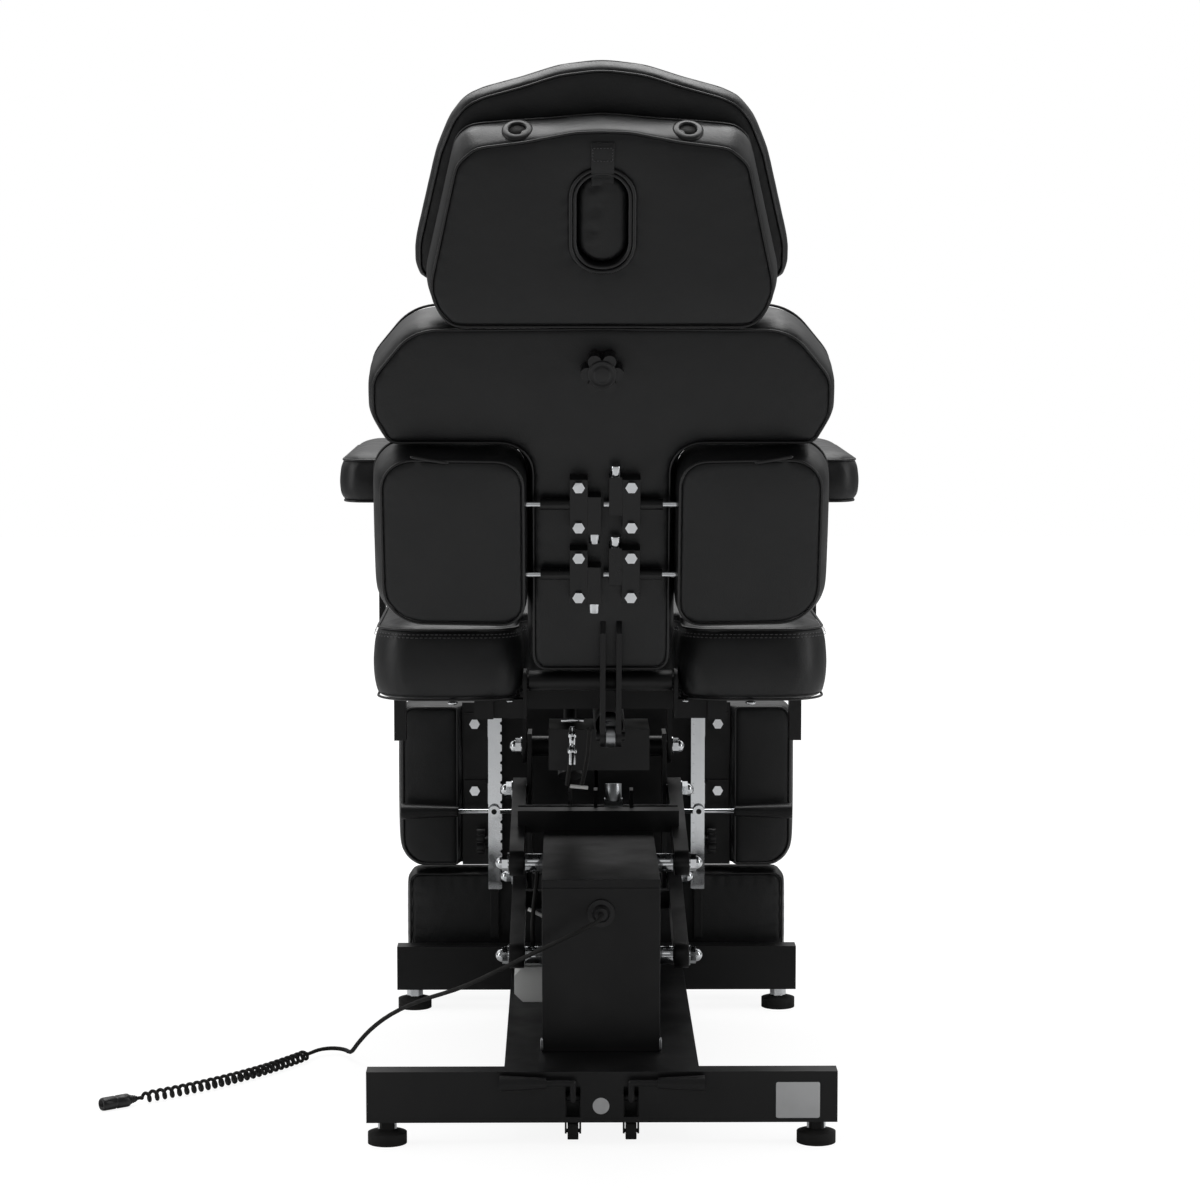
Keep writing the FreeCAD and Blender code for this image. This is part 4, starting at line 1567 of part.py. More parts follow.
curl_start = lead_points[-1]
curl_heading = (lead_points[-1] - lead_points[-2]).normalize()
straight = 2 * v.curl_wire_radius
curl_first = curl_start + curl_heading * straight
curl_end = Vector(*CURLS_END, floor_line)
curl_edges, curl_points, curl_t0, curl_t1, curl_turns = curls(curl_first, curl_heading, curl_end)
curl_edges.insert(0, Part.LineSegment(curl_start, curl_first).toShape())
plug_start = curl_end + curl_t1 * straight
curl_edges.append(Part.LineSegment(curl_end, plug_start).toShape())
curl_path = Part.Wire(curl_edges)
curl_solid = tube(curl_path, v.curl_wire_radius)
turn_step = len(curl_points) // curl_turns
gap = min((curl_points[i] - curl_points[j]).Length for i in range(0, len(curl_points), 2)
          for j in range(i + turn_step // 2, min(i + 2 * turn_step, len(curl_points)))) - 2 * v.curl_wire_radius
print("curls", curl_turns, "length of cord", round(curl_path.Length, 1), "least gap", round(gap, 2), "volume share",
      round(curl_solid.Volume / (math.pi * v.curl_wire_radius ** 2 * curl_path.Length), 4))
node("cord_curls", [shaped("curls", curl_solid)])

plug_sleeve = Part.makeCone(v.curl_wire_radius * v.sleeve_share, v.plug_collar_radius, v.plug_collar_length, plug_start, curl_t1)
plug_body = Part.makeCylinder(v.plug_radius, v.plug_length, plug_start + curl_t1 * v.plug_collar_length, curl_t1)
node("cord_plug", [shaped("plug", plug_sleeve.fuse(plug_body))])

doc.recompute()

# Checks of every object before anything is written
bad = [thing.Name for thing in doc.Objects if set(thing.State) & {"Invalid", "Error"}]
for name, thing in nodes.items():
    if thing.Shape.isNull() or not thing.Shape.isValid() or thing.Shape.Volume <= 0:
        bad.append(name)
if bad:
    raise RuntimeError(f"failed objects: {bad}")
for name, thing in nodes.items():
    thing.Shape.exportStep(f"parts/{name}.step")
box = FreeCAD.BoundBox()
for name, thing in nodes.items():
    box.add(thing.Shape.BoundBox)
    print(f"{name:30s} solids {len(thing.Shape.Solids):2d} volume {thing.Shape.Volume / 1000:10.1f} cm3")
print(f"{len(nodes)} nodes, x {box.XMin:.1f} {box.XMax:.1f}, y {box.YMin:.1f} {box.YMax:.1f},",
      f"z {box.ZMin:.1f} {box.ZMax:.1f}")
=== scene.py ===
"""Electric tattoo chair seen from behind: cushions, metal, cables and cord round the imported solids.

Shapes are written in millimetres and turned to metres by the frame they are drawn in: the chair's
own frame from the rear beam, or the backrest's frame, upright from its hinge and then reclined.
"""

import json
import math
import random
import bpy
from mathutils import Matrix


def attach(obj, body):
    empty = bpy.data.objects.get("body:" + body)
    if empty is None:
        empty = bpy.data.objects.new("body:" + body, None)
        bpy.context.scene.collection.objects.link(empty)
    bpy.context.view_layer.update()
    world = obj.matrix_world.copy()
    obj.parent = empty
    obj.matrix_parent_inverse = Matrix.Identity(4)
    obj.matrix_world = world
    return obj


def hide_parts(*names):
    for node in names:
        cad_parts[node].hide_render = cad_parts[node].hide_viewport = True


bl_info = {
    "name": "Tattoo Chair",
    "version": (1, 0, 0),
    "blender": (4, 5, 0),
    "location": "3D View > Sidebar > Chair",
    "description": "Builds the upholstery, metal finishes and cord of an electric tattoo chair",
    "category": "Object",
}

import bmesh
import bpy
from mathutils import Matrix, Vector, kdtree

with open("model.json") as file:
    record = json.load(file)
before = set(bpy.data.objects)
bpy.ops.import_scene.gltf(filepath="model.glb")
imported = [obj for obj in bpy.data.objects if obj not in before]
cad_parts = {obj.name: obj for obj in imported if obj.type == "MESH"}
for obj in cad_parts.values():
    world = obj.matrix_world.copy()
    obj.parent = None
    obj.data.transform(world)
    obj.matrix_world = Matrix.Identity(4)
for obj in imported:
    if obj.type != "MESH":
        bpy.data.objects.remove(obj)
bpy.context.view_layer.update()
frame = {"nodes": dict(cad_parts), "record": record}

MM = 0.001
REAR_TO_ORIGIN = 417.4
RECLINE = math.radians(18)
UPRIGHT = Matrix(((1, 0, 0, 0), (0, 0, 1, 0), (0, 1, 0, 0), (0, 0, 0, 1)))
FLAT = Matrix.Identity(4)
CHAIR = Matrix.Translation((0, -REAR_TO_ORIGIN * MM, 0)) @ Matrix.Scale(MM, 4)
BACK = (Matrix.Translation((0, (212 - REAR_TO_ORIGIN) * MM, 570 * MM)) @ Matrix.Rotation(RECLINE, 4, "X")
        @ Matrix.Scale(MM, 4))
OUT_OF_BACK = (BACK.to_3x3() @ Vector((0, -1, 0))).normalized()
SIDES = (("left", -1), ("right", 1))


# Materials
def linear(code):
    """Turns an sRGB hex colour to a linear one."""
    parts = [int(code[i:i + 2], 16) / 255 for i in (1, 3, 5)]
    return [c / 12.92 if c <= 0.04045 else ((c + 0.055) / 1.055) ** 2.4 for c in parts] + [1]


def add(tree, kind, sockets=None, **settings):
    """Adds one node with its settings, and links or sets its sockets."""
    node = tree.nodes.new("ShaderNode" + kind)
    for key, value in settings.items():
        setattr(node, key, value)
    for key, value in (sockets or {}).items():
        if isinstance(value, bpy.types.NodeSocket):
            tree.links.new(value, node.inputs[key])
        else:
            node.inputs[key].default_value = value
    return node


def worked(tree, kind, operation, *values):
    """The result of a Math or VectorMath node."""
    return add(tree, kind, dict(enumerate(values)), operation=operation).outputs[0]


def noise(tree, place, size_mm, detail, **sockets):
    """Noise with features of a real size."""
    sockets = {"Vector": place, "Scale": 1 / (size_mm * MM), "Detail": detail, **sockets}
    return add(tree, "TexNoise", sockets).outputs["Fac"]


def spread(tree, value, start, end, low, high):
    """A value whose range from start to end is laid on to the one from low to high."""
    sockets = {"Value": value, "From Min": start, "From Max": end, "To Min": low, "To Max": high}
    return add(tree, "MapRange", sockets).outputs["Result"]


def finish(name, colour, roughness, metallic=0.0, ior=1.5, specular=0.5, coat=0.0, sheen=0.0):
    """A new material with plain values, its node tree, its shader and its place in object space."""
    material = bpy.data.materials.new(name)
    material.use_nodes = True
    tree = material.node_tree
    shader = tree.nodes["Principled BSDF"]
    values = (("Base Color", linear(colour)), ("Roughness", roughness), ("Metallic", metallic), ("IOR", ior),
              ("Specular IOR Level", specular), ("Coat Weight", coat), ("Sheen Weight", sheen))
    for key, value in values:
        shader.inputs[key].default_value = value
    place = add(tree, "TexCoord").outputs["Object"]
    return material, tree, shader, place


def mottled(tree, shader, place, dark, light, low, high, patch_mm):
    """Slow drift of colour and roughness over patches of a real size."""
    drift = noise(tree, place, patch_mm, 4.0)
    tint = add(tree, "Mix", {0: drift, 6: linear(dark), 7: linear(light)}, data_type="RGBA")
    tree.links.new(tint.outputs[2], shader.inputs["Base Color"])
    tree.links.new(spread(tree, drift, 0.3, 0.7, low, high), shader.inputs["Roughness"])


def raised(tree, shader, heights):
    """Bump from several height fields, each with its depth in millimetres."""
    normal = None
    for height, depth_mm, strength in heights:
        sockets = {"Height": height, "Distance": depth_mm * MM, "Strength": strength}
        if normal is not None:
            sockets["Normal"] = normal
        normal = add(tree, "Bump", sockets).outputs["Normal"]
    tree.links.new(normal, shader.inputs["Normal"])


def imitation_leather():
    """Calendered PVC on cloth, embossed with a soft pebble grain: broad soft highlights, faint creases."""
    material, tree, shader, place = finish("imitation leather, embossed", "#141415", 0.42, specular=0.42)
    mottled(tree, shader, place, "#0f0f10", "#191a1b", 0.36, 0.5, 45)
    # Grain of 1.1 mm is drawn at 2.2 mm, so that it shows
    grain = add(tree, "TexVoronoi", {"Vector": place, "Scale": 1 / (2.2 * MM), "Smoothness": 0.6},
                feature="SMOOTH_F1").outputs["Distance"]
    crease = noise(tree, place, 14, 5.0, Roughness=0.62)
    billow = noise(tree, place, 70, 2.0)
    raised(tree, shader, [(grain, 0.25, 0.35), (crease, 0.8, 0.25), (billow, 5.0, 0.35)])
    return material


def sewing_thread():
    """Twisted bonded polyester: matt, slightly lighter than the leather."""
    material, tree, shader, place = finish("polyester thread, twisted", "#303032", 0.7, sheen=0.3)
    twist = add(tree, "TexWave", {"Vector": place, "Scale": 1 / (1.5 * MM)}).outputs["Fac"]
    raised(tree, shader, [(twist, 0.2, 0.5)])
    return material


def coated(name, colour, roughness, drift, grain=None, **more):
    """A coated or moulded part whose tone drifts over patches, with a fine grain in its face."""
    material, tree, shader, place = finish(name, colour, roughness, **more)
    mottled(tree, shader, place, *drift)
    if grain:
        size_mm, depth_mm, strength = grain
        raised(tree, shader, [(noise(tree, place, size_mm, 2.0), depth_mm, strength)])
    return material


def drawn_lines(tree, shader, place, scratch_mm, depth_mm):
    """Fine lines left by drawing, turning or polishing."""
    lines = add(tree, "Mapping", {"Vector": place, "Scale": (1 / (scratch_mm * MM), 12, 1 / (scratch_mm * MM))})
    fine = add(tree, "TexNoise", {"Vector": lines.outputs["Vector"], "Scale": 1.0, "Detail": 3.0})
    raised(tree, shader, [(fine.outputs["Fac"], depth_mm, 0.2)])


def metal(name, dark, light, low, high, patch_mm, scratch_mm, depth_mm):
    """A bare or plated metal with drifting tone and fine drawn lines."""
    material, tree, shader, place = finish(name, light, low, metallic=1.0)
    mottled(tree, shader, place, dark, light, low, high, patch_mm)
    drawn_lines(tree, shader, place, scratch_mm, depth_mm)
    return material


def chrome_in_boxes(name, dark, light, low, high, boxes):
    """A black part that is chrome plated inside some boxes, given in millimetres and alike on both sides."""
    material, tree, shader, place = finish(name, light, low, specular=0.35)
    mottled(tree, shader, place, dark, light, low, high, 45)
    plated = add(tree, "BsdfPrincipled", {"Metallic": 1.0})
    mottled(tree, plated, place, "#c9cccf", "#eef0f2", 0.06, 0.16, 20)
    drawn_lines(tree, plated, place, 0.6, 0.02)
    inside = 0.0
    for lo, hi in boxes:
        middle = Vector((lo[0] + hi[0], lo[1] + hi[1] - 2 * REAR_TO_ORIGIN, lo[2] + hi[2])) * (MM / 2)
        half = (Vector(hi) - Vector(lo)) * (MM / 2)
        apart = worked(tree, "VectorMath", "ABSOLUTE", place)
        apart = worked(tree, "VectorMath", "SUBTRACT", apart, middle)
        apart = worked(tree, "VectorMath", "ABSOLUTE", apart)
        beyond = worked(tree, "VectorMath", "SUBTRACT", apart, half)
        axes = add(tree, "SeparateXYZ", {0: beyond}).outputs
        worst = worked(tree, "Math", "MAXIMUM", axes[0], axes[1])
        worst = worked(tree, "Math", "MAXIMUM", worst, axes[2])
        here = worked(tree, "Math", "LESS_THAN", worst, 0.0)
        inside = worked(tree, "Math", "MAXIMUM", here, inside)
    mixed = add(tree, "MixShader", {0: inside, 1: shader.outputs[0], 2: plated.outputs[0]})
    tree.links.new(mixed.outputs[0], tree.nodes["Material Output"].inputs["Surface"])
    return material


def plastic(name, dark, light, low, high, grain_mm):
    """Injection-moulded plastic with a spark-eroded grain."""
    return coated(name, light, low, (dark, light, low, high, 35), (grain_mm, 0.08, 0.3), ior=1.46)


# The plated places of parts that are black elsewhere, as opposite corners in millimetres
RAIL_BOXES = [((144, 817, 170), (163.5, 836.5, 480)), ((172, 838, 280), (200, 846.9, 470))]
LEVER_BOXES = [((100, 790, 270), (207.4, 817.9, 320))]
PEDAL_BOXES = [((20, -40, 40), (70.5, -1, 110))]
STEM_BOXES = [((248, -11, 18.2), (300, 41, 70)), ((248, 772, 18.2), (300, 824, 70))]

# Finishes by material slot, and by the start of a node's name where it has one of its own
FINISHES = {
    "leather": imitation_leather(),
    # The leather's welts are stretched over a filler, which makes them a little glossier
    "piping": coated("imitation leather, stretched piping", "#121213", 0.34,
                     ("#0d0d0e", "#19191a", 0.3, 0.42, 25)),
    "thread": sewing_thread(),
    # Satin polyester powder with fine orange peel, and a darker, glossier enamel on machined steel
    "frame_black": coated("powder coat, satin black", "#0c0c0d", 0.4, ("#09090a", "#111112", 0.34, 0.48, 60),
                          (1.8, 0.12, 0.3), specular=0.35),
    "dark_steel": coated("enamel, black on steel", "#0a0a0b", 0.32, ("#080809", "#131314", 0.26, 0.42, 30),
                         specular=0.4),
    "chrome": metal("chrome plate, polished", "#c9cccf", "#eef0f2", 0.06, 0.16, 20, 0.6, 0.02),
    "steel": metal("zinc plate, bright", "#8f9193", "#b9bbbd", 0.24, 0.4, 12, 0.5, 0.05),
    "light_tube": metal("aluminium, anodised and turned", "#b4b7ba", "#d4d7d9", 0.3, 0.42, 15, 0.8, 0.04),
    "black_plastic": plastic("nylon, moulded black", "#0d0d0e", "#171718", 0.32, 0.46, 0.8),
    "grey_plastic": plastic("ABS, moulded pale grey", "#dadbda", "#ebecea", 0.38, 0.5, 0.9),
    "rubber": coated("rubber, moulded", "#121212", 0.75, ("#0e0e0e", "#1c1b1a", 0.65, 0.85, 18),
                     (0.9, 0.1, 0.4), specular=0.35),
    "white_plastic": plastic("nylon, moulded white", "#cfd0cf", "#e6e6e4", 0.3, 0.42, 0.8),
    "leg_frame": chrome_in_boxes("powder coat, satin black, with a chrome rail", "#09090a", "#111112",
                                 0.34, 0.48, RAIL_BOXES),
    "release_lever": chrome_in_boxes("nylon, moulded black, on a chrome rod", "#0d0d0e", "#171718",
                                     0.32, 0.46, LEVER_BOXES),
    "rear_pedal": chrome_in_boxes("rubber grip, moulded, on a chrome rod", "#0d0d0e", "#171718",
                                  0.4, 0.55, PEDAL_BOXES),
    "levelling_foot": chrome_in_boxes("rubber, moulded, on a zinc-plated stem", "#0e0e0e", "#1c1b1a",
                                      0.65, 0.85, STEM_BOXES),
    "label": plastic("polyester film, matt silver", "#b9babb", "#cbcccd", 0.45, 0.6, 1.2),
}
FINISHES["tilt_motor"] = FINISHES["dark_steel"]


# Outlines, meshes and small helpers
def rounded(points, radii, step=7.0):
    """The closed outline of a polygon with rounded corners, with points about a step apart."""
    count = len(points)
    line = []
    for i in range(count):
        before, here, after = (Vector(points[k % count]) for k in (i - 1, i, i + 1))
        u, w = before - here, after - here
        turn = math.pi - u.angle(w)
        reach = min(radii[i] * math.tan(turn / 2), u.length * 0.47, w.length * 0.47)
        radius = reach / math.tan(turn / 2)
        u.normalize()
        w.normalize()
        centre = here + (u + w).normalized() * (radius / math.cos(turn / 2))
        start, end = here + u * reach - centre, here + w * reach - centre
        steps = max(2, int(radius * turn / step))
        sweep = math.atan2(start.x * end.y - start.y * end.x, start.dot(end))
        for k in range(steps + 1):
            angle = sweep * k / steps
            c, s = math.cos(angle), math.sin(angle)
            line.append(centre + Vector((start.x * c - start.y * s, start.x * s + start.y * c)))
    return even(line, step)


def even(line, step, closed=True):
    """The same line with points an even step apart."""
    loop = list(line) + ([line[0]] if closed else [])
    lengths = [0.0]
    for a, b in zip(loop, loop[1:]):
        lengths.append(lengths[-1] + (b - a).length)
    count = max(4, round(lengths[-1] / step))
    result, k = [], 0
    for i in range(count if closed else count + 1):
        target = lengths[-1] * i / count
        while k < len(lengths) - 2 and lengths[k + 1] < target:
            k += 1
        span = lengths[k + 1] - lengths[k]
        share = (target - lengths[k]) / span if span > 0 else 0
        result.append(loop[k].lerp(loop[k + 1], share))
    return result


def drawn_in(line, inset):
    """A closed flat outline moved inwards by an inset."""
    area = sum(a.x * b.y - b.x * a.y for a, b in zip(line, line[1:] + line[:1]))
    sign = 1 if area > 0 else -1
    count = len(line)
    moved = []
    for i in range(count):
        way = line[(i + 1) % count] - line[i - 1]
        normal = Vector((-way.y, way.x)).normalized() * sign
        moved.append(line[i] + normal * inset)
    return moved


def counted(line, count):
    """The same closed line with a given number of points."""
    length = sum((a - b).length for a, b in zip(line, line[1:] + line[:1]))
    return even(line, length / count)


def mirrored(half):
    """A closed outline from its right half, which ends on the middle line."""
    return half + [(-x, y) for x, y in reversed(half) if x > 0]


def oblong(x0, x1, z0, z1):
    """The corners of a rectangle."""
    return [(x0, z0), (x1, z0), (x1, z1), (x0, z1)]


def circle(centre, side, other, radius, count, ribs=0.0):
    """Points on a circle in space, its radius in millimetres, with every second one drawn in by a share."""
    points = []
    for k in range(count):
        angle = 2 * math.pi * k / count
        reach = radius * (1 - ribs * (k % 2)) * MM
        points.append(centre + (side * math.cos(angle) + other * math.sin(angle)) * reach)
    return points


def placed(points, lay, place):
    """Flat points with a depth, laid flat or upright, in the row frame."""
    return [place @ (lay @ Vector(p)) for p in points]


def solid(name, points, faces, smooth=True):
    """A mesh object from points and faces."""
    mesh = bpy.data.meshes.new(name)
    mesh.from_pydata([tuple(p) for p in points], [], faces)
    bm = bmesh.new()
    bm.from_mesh(mesh)
    bmesh.ops.recalc_face_normals(bm, faces=bm.faces)
    bm.to_mesh(mesh)
    bm.free()
    for face in mesh.polygons:
        face.use_smooth = smooth
    thing = bpy.data.objects.new(name, mesh)
    bpy.context.scene.collection.objects.link(thing)
    return thing


def dressed(thing, finish_name, body):
    """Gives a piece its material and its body."""
    thing.data.materials.clear()
    thing.data.materials.append(FINISHES[finish_name])
    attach(thing, body)
    return thing


def modified(thing, kind, **settings):
    """Adds a modifier with its settings."""
    modifier = thing.modifiers.new(kind.title(), kind)
    for key, value in settings.items():
        setattr(modifier, key, value)
    return modifier


def applied(thing):
    """Applies every modifier of a piece."""
    graph = bpy.context.evaluated_depsgraph_get()
    mesh = bpy.data.meshes.new_from_object(thing.evaluated_get(graph))
    thing.modifiers.clear()
    thing.data = mesh
    return thing


def walls(levels, count, base=0):
    """Faces between rings whose points follow one another, from the point numbered base on."""
    return [(low + i, low + (i + 1) % count, low + count + (i + 1) % count, low + count + i)
            for low in range(base, base + (levels - 1) * count, count) for i in range(count)]


def loft(name, rings, open_end=False):
    """A mesh through rings of equal counts, with flat caps."""
    count = len(rings[0])
    points = [p for ring in rings for p in ring]
    faces = [tuple(reversed(range(count)))]
    if not open_end:
        faces.append(tuple(range(len(points) - count, len(points))))
    return solid(name, points, faces + walls(len(rings), count))


def pipe(name, line, radius, finish_name, body, closed=True, ends=1.0):
    """A round welt, wire or rod along a line, as a mesh whose end rings are drawn in by a share and capped
    flat.
    """
    count = len(line)
    rings = []
    sides = 8
    frame_normal = None
    for i, here in enumerate(line):
        if closed:
            way = (line[(i + 1) % count] - line[i - 1]).normalized()
        else:
            way = (line[min(i + 1, count - 1)] - line[max(i - 1, 0)]).normalized()
        if frame_normal is None:
            frame_normal = way.orthogonal()
        frame_normal = (frame_normal - way * frame_normal.dot(way)).normalized()
        other = way.cross(frame_normal)
        share = ends if not closed and i in (0, count - 1) else 1
        rings.append(circle(here, frame_normal, other, radius * share, sides))
    if not closed:
        return dressed(loft(name, rings), finish_name, body)
    # The last ring is joined to the first where their points lie nearest
    twist = min(range(sides), key=lambda t: (rings[-1][0] - rings[0][t]).length)
    last = (count - 1) * sides
    joint = [(last + k, last + (k + 1) % sides, (k + 1 + twist) % sides, (k + twist) % sides)
             for k in range(sides)]
    thing = solid(name, [p for ring in rings for p in ring], walls(count, sides) + joint)
    return dressed(thing, finish_name, body)


def stitches(name, line, pitch, body, out, closed=True):
    """A row of short threads along a line, each raised a little along a direction."""
    points, faces = [], []
    path = even(line, pitch * MM, closed)
    long, wide, high = pitch * 0.31 * MM, 0.55 * MM, 0.5 * MM
    for i, here in enumerate(path):
        following = path[(i + 1) % len(path)]
        if not closed and i == len(path) - 1:
            break
        way = (following - here).normalized()
        up = out(here) if callable(out) else out
        across = way.cross(up).normalized() * wide
        middle = (here + following) / 2 + up * (0.2 * MM)
        base = len(points)
        for along, size, rise in ((-1.0, 0.5, 0.0), (-0.5, 1.0, 1.0), (0.5, 1.0, 1.0), (1.0, 0.5, 0.0)):
            for turn in (0, 1, 2, 3):
                angle = math.pi / 2 * turn
                points.append(middle + way * (long * along) + across * (size * math.cos(angle))
                              + up * (high * (rise * 0.5 + size * 0.5 * math.sin(angle))))
        faces += walls(4, 4, base)
        faces.append((base, base + 1, base + 2, base + 3))
        faces.append((base + 12, base + 13, base + 14, base + 15))
    return dressed(solid(name, points, faces), "thread", body)


def curve_of(name, controls, radius, radii=None):
    """A curve of one open spline with the given control points."""
    data = bpy.data.curves.new(name, "CURVE")
    data.dimensions = "3D"
    data.resolution_u = 12 if radius == 0 else 3
    data.bevel_depth = radius
    data.bevel_resolution = 3
    data.use_fill_caps = True
    line = data.splines.new("NURBS")
    line.points.add(len(controls) - 1)
    for i, p in enumerate(controls):
        line.points[i].co = (*p, 1)
        if radii:
            line.points[i].radius = radii[i]
    line.order_u = 3
    line.use_endpoint_u = True
    thing = bpy.data.objects.new(name, data)
    bpy.context.scene.collection.objects.link(thing)
    return thing


def spline_points(controls):
    """Points read from the spline of a few control points."""
    curve = curve_of("axis", controls, 0)
    graph = bpy.context.evaluated_depsgraph_get()
    mesh = bpy.data.meshes.new_from_object(curve.evaluated_get(graph))
    points = [v.co.copy() for v in mesh.vertices]
    bpy.data.objects.remove(curve)
    return points


# Upholstery
LEATHER_CLOTH = {"quality": 3, "mass": 0.3, "tension_stiffness": 30, "compression_stiffness": 30,
                 "bending_stiffness": 2, "use_pressure": True, "uniform_pressure_force": 4,
                 "vertex_group_mass": "sewn"}


def nearest_tree(lines):
    """A search tree over the points of several lines."""
    points = [p for line in lines for p in line]
    tree = kdtree.KDTree(len(points))
    for i, p in enumerate(points):
        tree.insert(p, i)
    tree.balance()
    return tree


def swollen(jobs):
    """Fills the cushions with air for a few frames, held at their seams, and caps how far they move."""
    scene = bpy.context.scene
    for thing, seams, cap in jobs:
        tree = nearest_tree(seams)
        group = thing.vertex_groups.new(name="sewn")
        for vertex in thing.data.vertices:
            gap = tree.find(vertex.co)[2]
            weight = min(1.0, max(0.0, 1.6 - gap / (6 * MM)))
            if weight > 0:
                group.add([vertex.index], weight, "REPLACE")
        cloth = modified(thing, "CLOTH")
        for key, value in LEATHER_CLOTH.items():
            setattr(cloth.settings, key, value)
        cloth.settings.effector_weights.gravity = 0
        cloth.point_cache.frame_start = 1
        cloth.point_cache.frame_end = 20
    for number in range(1, 21):
        scene.frame_set(number)
    graph = bpy.context.evaluated_depsgraph_get()
    for thing, seams, cap in jobs:
        moved = thing.evaluated_get(graph).data
        for vertex, after in zip(thing.data.vertices, moved.vertices):
            step = after.co - vertex.co
            if step.length > cap * MM:
                step *= cap * MM / step.length
            vertex.co = vertex.co + step
        thing.modifiers.clear()
        thing.vertex_groups.clear()
    scene.frame_set(1)


def smoothed(thing, times=2):
    """Takes the voxel steps out of a mesh."""
    bm = bmesh.new()
    bm.from_mesh(thing.data)
    for _ in range(times):
        bmesh.ops.smooth_vert(bm, verts=bm.verts, factor=0.5, use_axis_x=True, use_axis_y=True, use_axis_z=True)
    bm.to_mesh(thing.data)
    bm.free()


def gathered(thing, line, reach, pitch, depth, seed):
    """Small folds that run away from a sewn line, deepest beside it."""
    tree = nearest_tree([line])
    rng = random.Random(seed)
    phase = [rng.uniform(0.6, 1.0) for _ in line]
    lengths, total = [0.0], 0.0
    for a, b in zip(line, line[1:]):
        total += (b - a).length
        lengths.append(total)
    for vertex in thing.data.vertices:
        _, index, gap = tree.find(vertex.co)
        if gap > reach * MM:
            continue
        fade = (1 - gap / (reach * MM)) ** 1.5 * min(1, gap / (3 * MM) + 0.3)
        wave = math.sin(2 * math.pi * lengths[index] / (pitch * MM) + 2.5 * phase[index // 7 % len(phase)])
        vertex.co -= vertex.normal * (depth * MM * fade * (0.5 + 0.5 * wave) * phase[index // 5 % len(phase)])


def upholstered(name, rings, voxel, other=None, operation="DIFFERENCE"):
    """A closed cushion from its rings, cut or joined with another solid and remeshed to even faces."""
    thing = loft(name, rings)
    if other is not None:
        modified(thing, "BOOLEAN", object=other, operation=operation, solver="EXACT")
        applied(thing)
        bpy.data.objects.remove(other)
    modified(thing, "REMESH", mode="VOXEL", voxel_size=voxel * MM, use_smooth_shade=True)
    applied(thing)
    smoothed(thing, 2)
    return thing


def levels_of(bottom, top, crown, reach, draw, bulge):
    """Depths and insets from the drawn-in rear or lower edge to the crowned front or top."""
    deep = top - bottom
    return [(bottom, draw), (bottom + deep * 0.07, draw * 0.3), (bottom + deep * 0.25, -bulge * 0.5),
            (bottom + deep * 0.5, -bulge), (bottom + deep * 0.85, 0), (top, draw * 0.5),
            (top + crown * 0.5, reach * 0.25), (top + crown, reach)]


def ring(line, depth, inset, lay, place):
    """One ring of a cushion."""
    return placed([(p.x, p.y, depth) for p in drawn_in(line, inset)], lay, place)


def rings_of(line, levels, lay, place):
    """Rings of one outline at several depths, each with its inset."""
    return [ring(line, depth, inset, lay, place) for depth, inset in levels]


def plain_cushion(name, line, shape, seams, voxel, lay, place):
    """A cushion with one outline all through, and its sewn lines from their depths and insets."""
    thing = upholstered(name, rings_of(line, levels_of(*shape), lay, place), voxel)
    return thing, rings_of(line, seams, lay, place)


def made_up(thing, body, nodes, welts):
    modified(thing, "SUBSURF", levels=1, render_levels=1)
    applied(thing)
    for face in thing.data.polygons:
        face.use_smooth = True
    dressed(thing, "leather", body)
    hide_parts(*nodes)
    radius = bpy.context.scene.chair_sizes.welt_radius
    for index, line in enumerate(welts):
        pipe(f"{thing.name}_welt_{index + 1}", line, radius, "piping", body)


class ChairSizes(bpy.types.PropertyGroup):
    """Sizes of the upholstery and of the view that a user would change."""

    swell_cap: bpy.props.FloatProperty(name="Swell", description="Most that a filled cushion may move, in mm",
                                       default=6.0, min=0.0)
    welt_radius: bpy.props.FloatProperty(name="Welt radius", description="Radius of the sewn welts, in mm",
                                         default=1.7, min=0.2)
    stitch_pitch: bpy.props.FloatProperty(name="Stitch pitch", description="Length of a stitch, in mm",
                                          default=6.0, min=1.0)
    lens: bpy.props.FloatProperty(name="Lens", description="Focal length of the camera, in mm", default=100.53,
                                  min=1.0, subtype="DISTANCE_CAMERA")
    key_power: bpy.props.FloatProperty(name="Top softbox", description="Power of the lamp above", default=62.0,
                                       min=0.0, unit="POWER")
    side_power: bpy.props.FloatProperty(name="Side softboxes", description="Power of each lamp at the sides",
                                        default=12.0, min=0.0, unit="POWER")
    far_power: bpy.props.FloatProperty(name="Far softbox", description="Power of the lamp beyond the chair",
                                       default=25.0, min=0.0, unit="POWER")
    near_power: bpy.props.FloatProperty(name="Near softbox", description="Power of the lamp above the camera",
                                        default=6.0, min=0.0, unit="POWER")


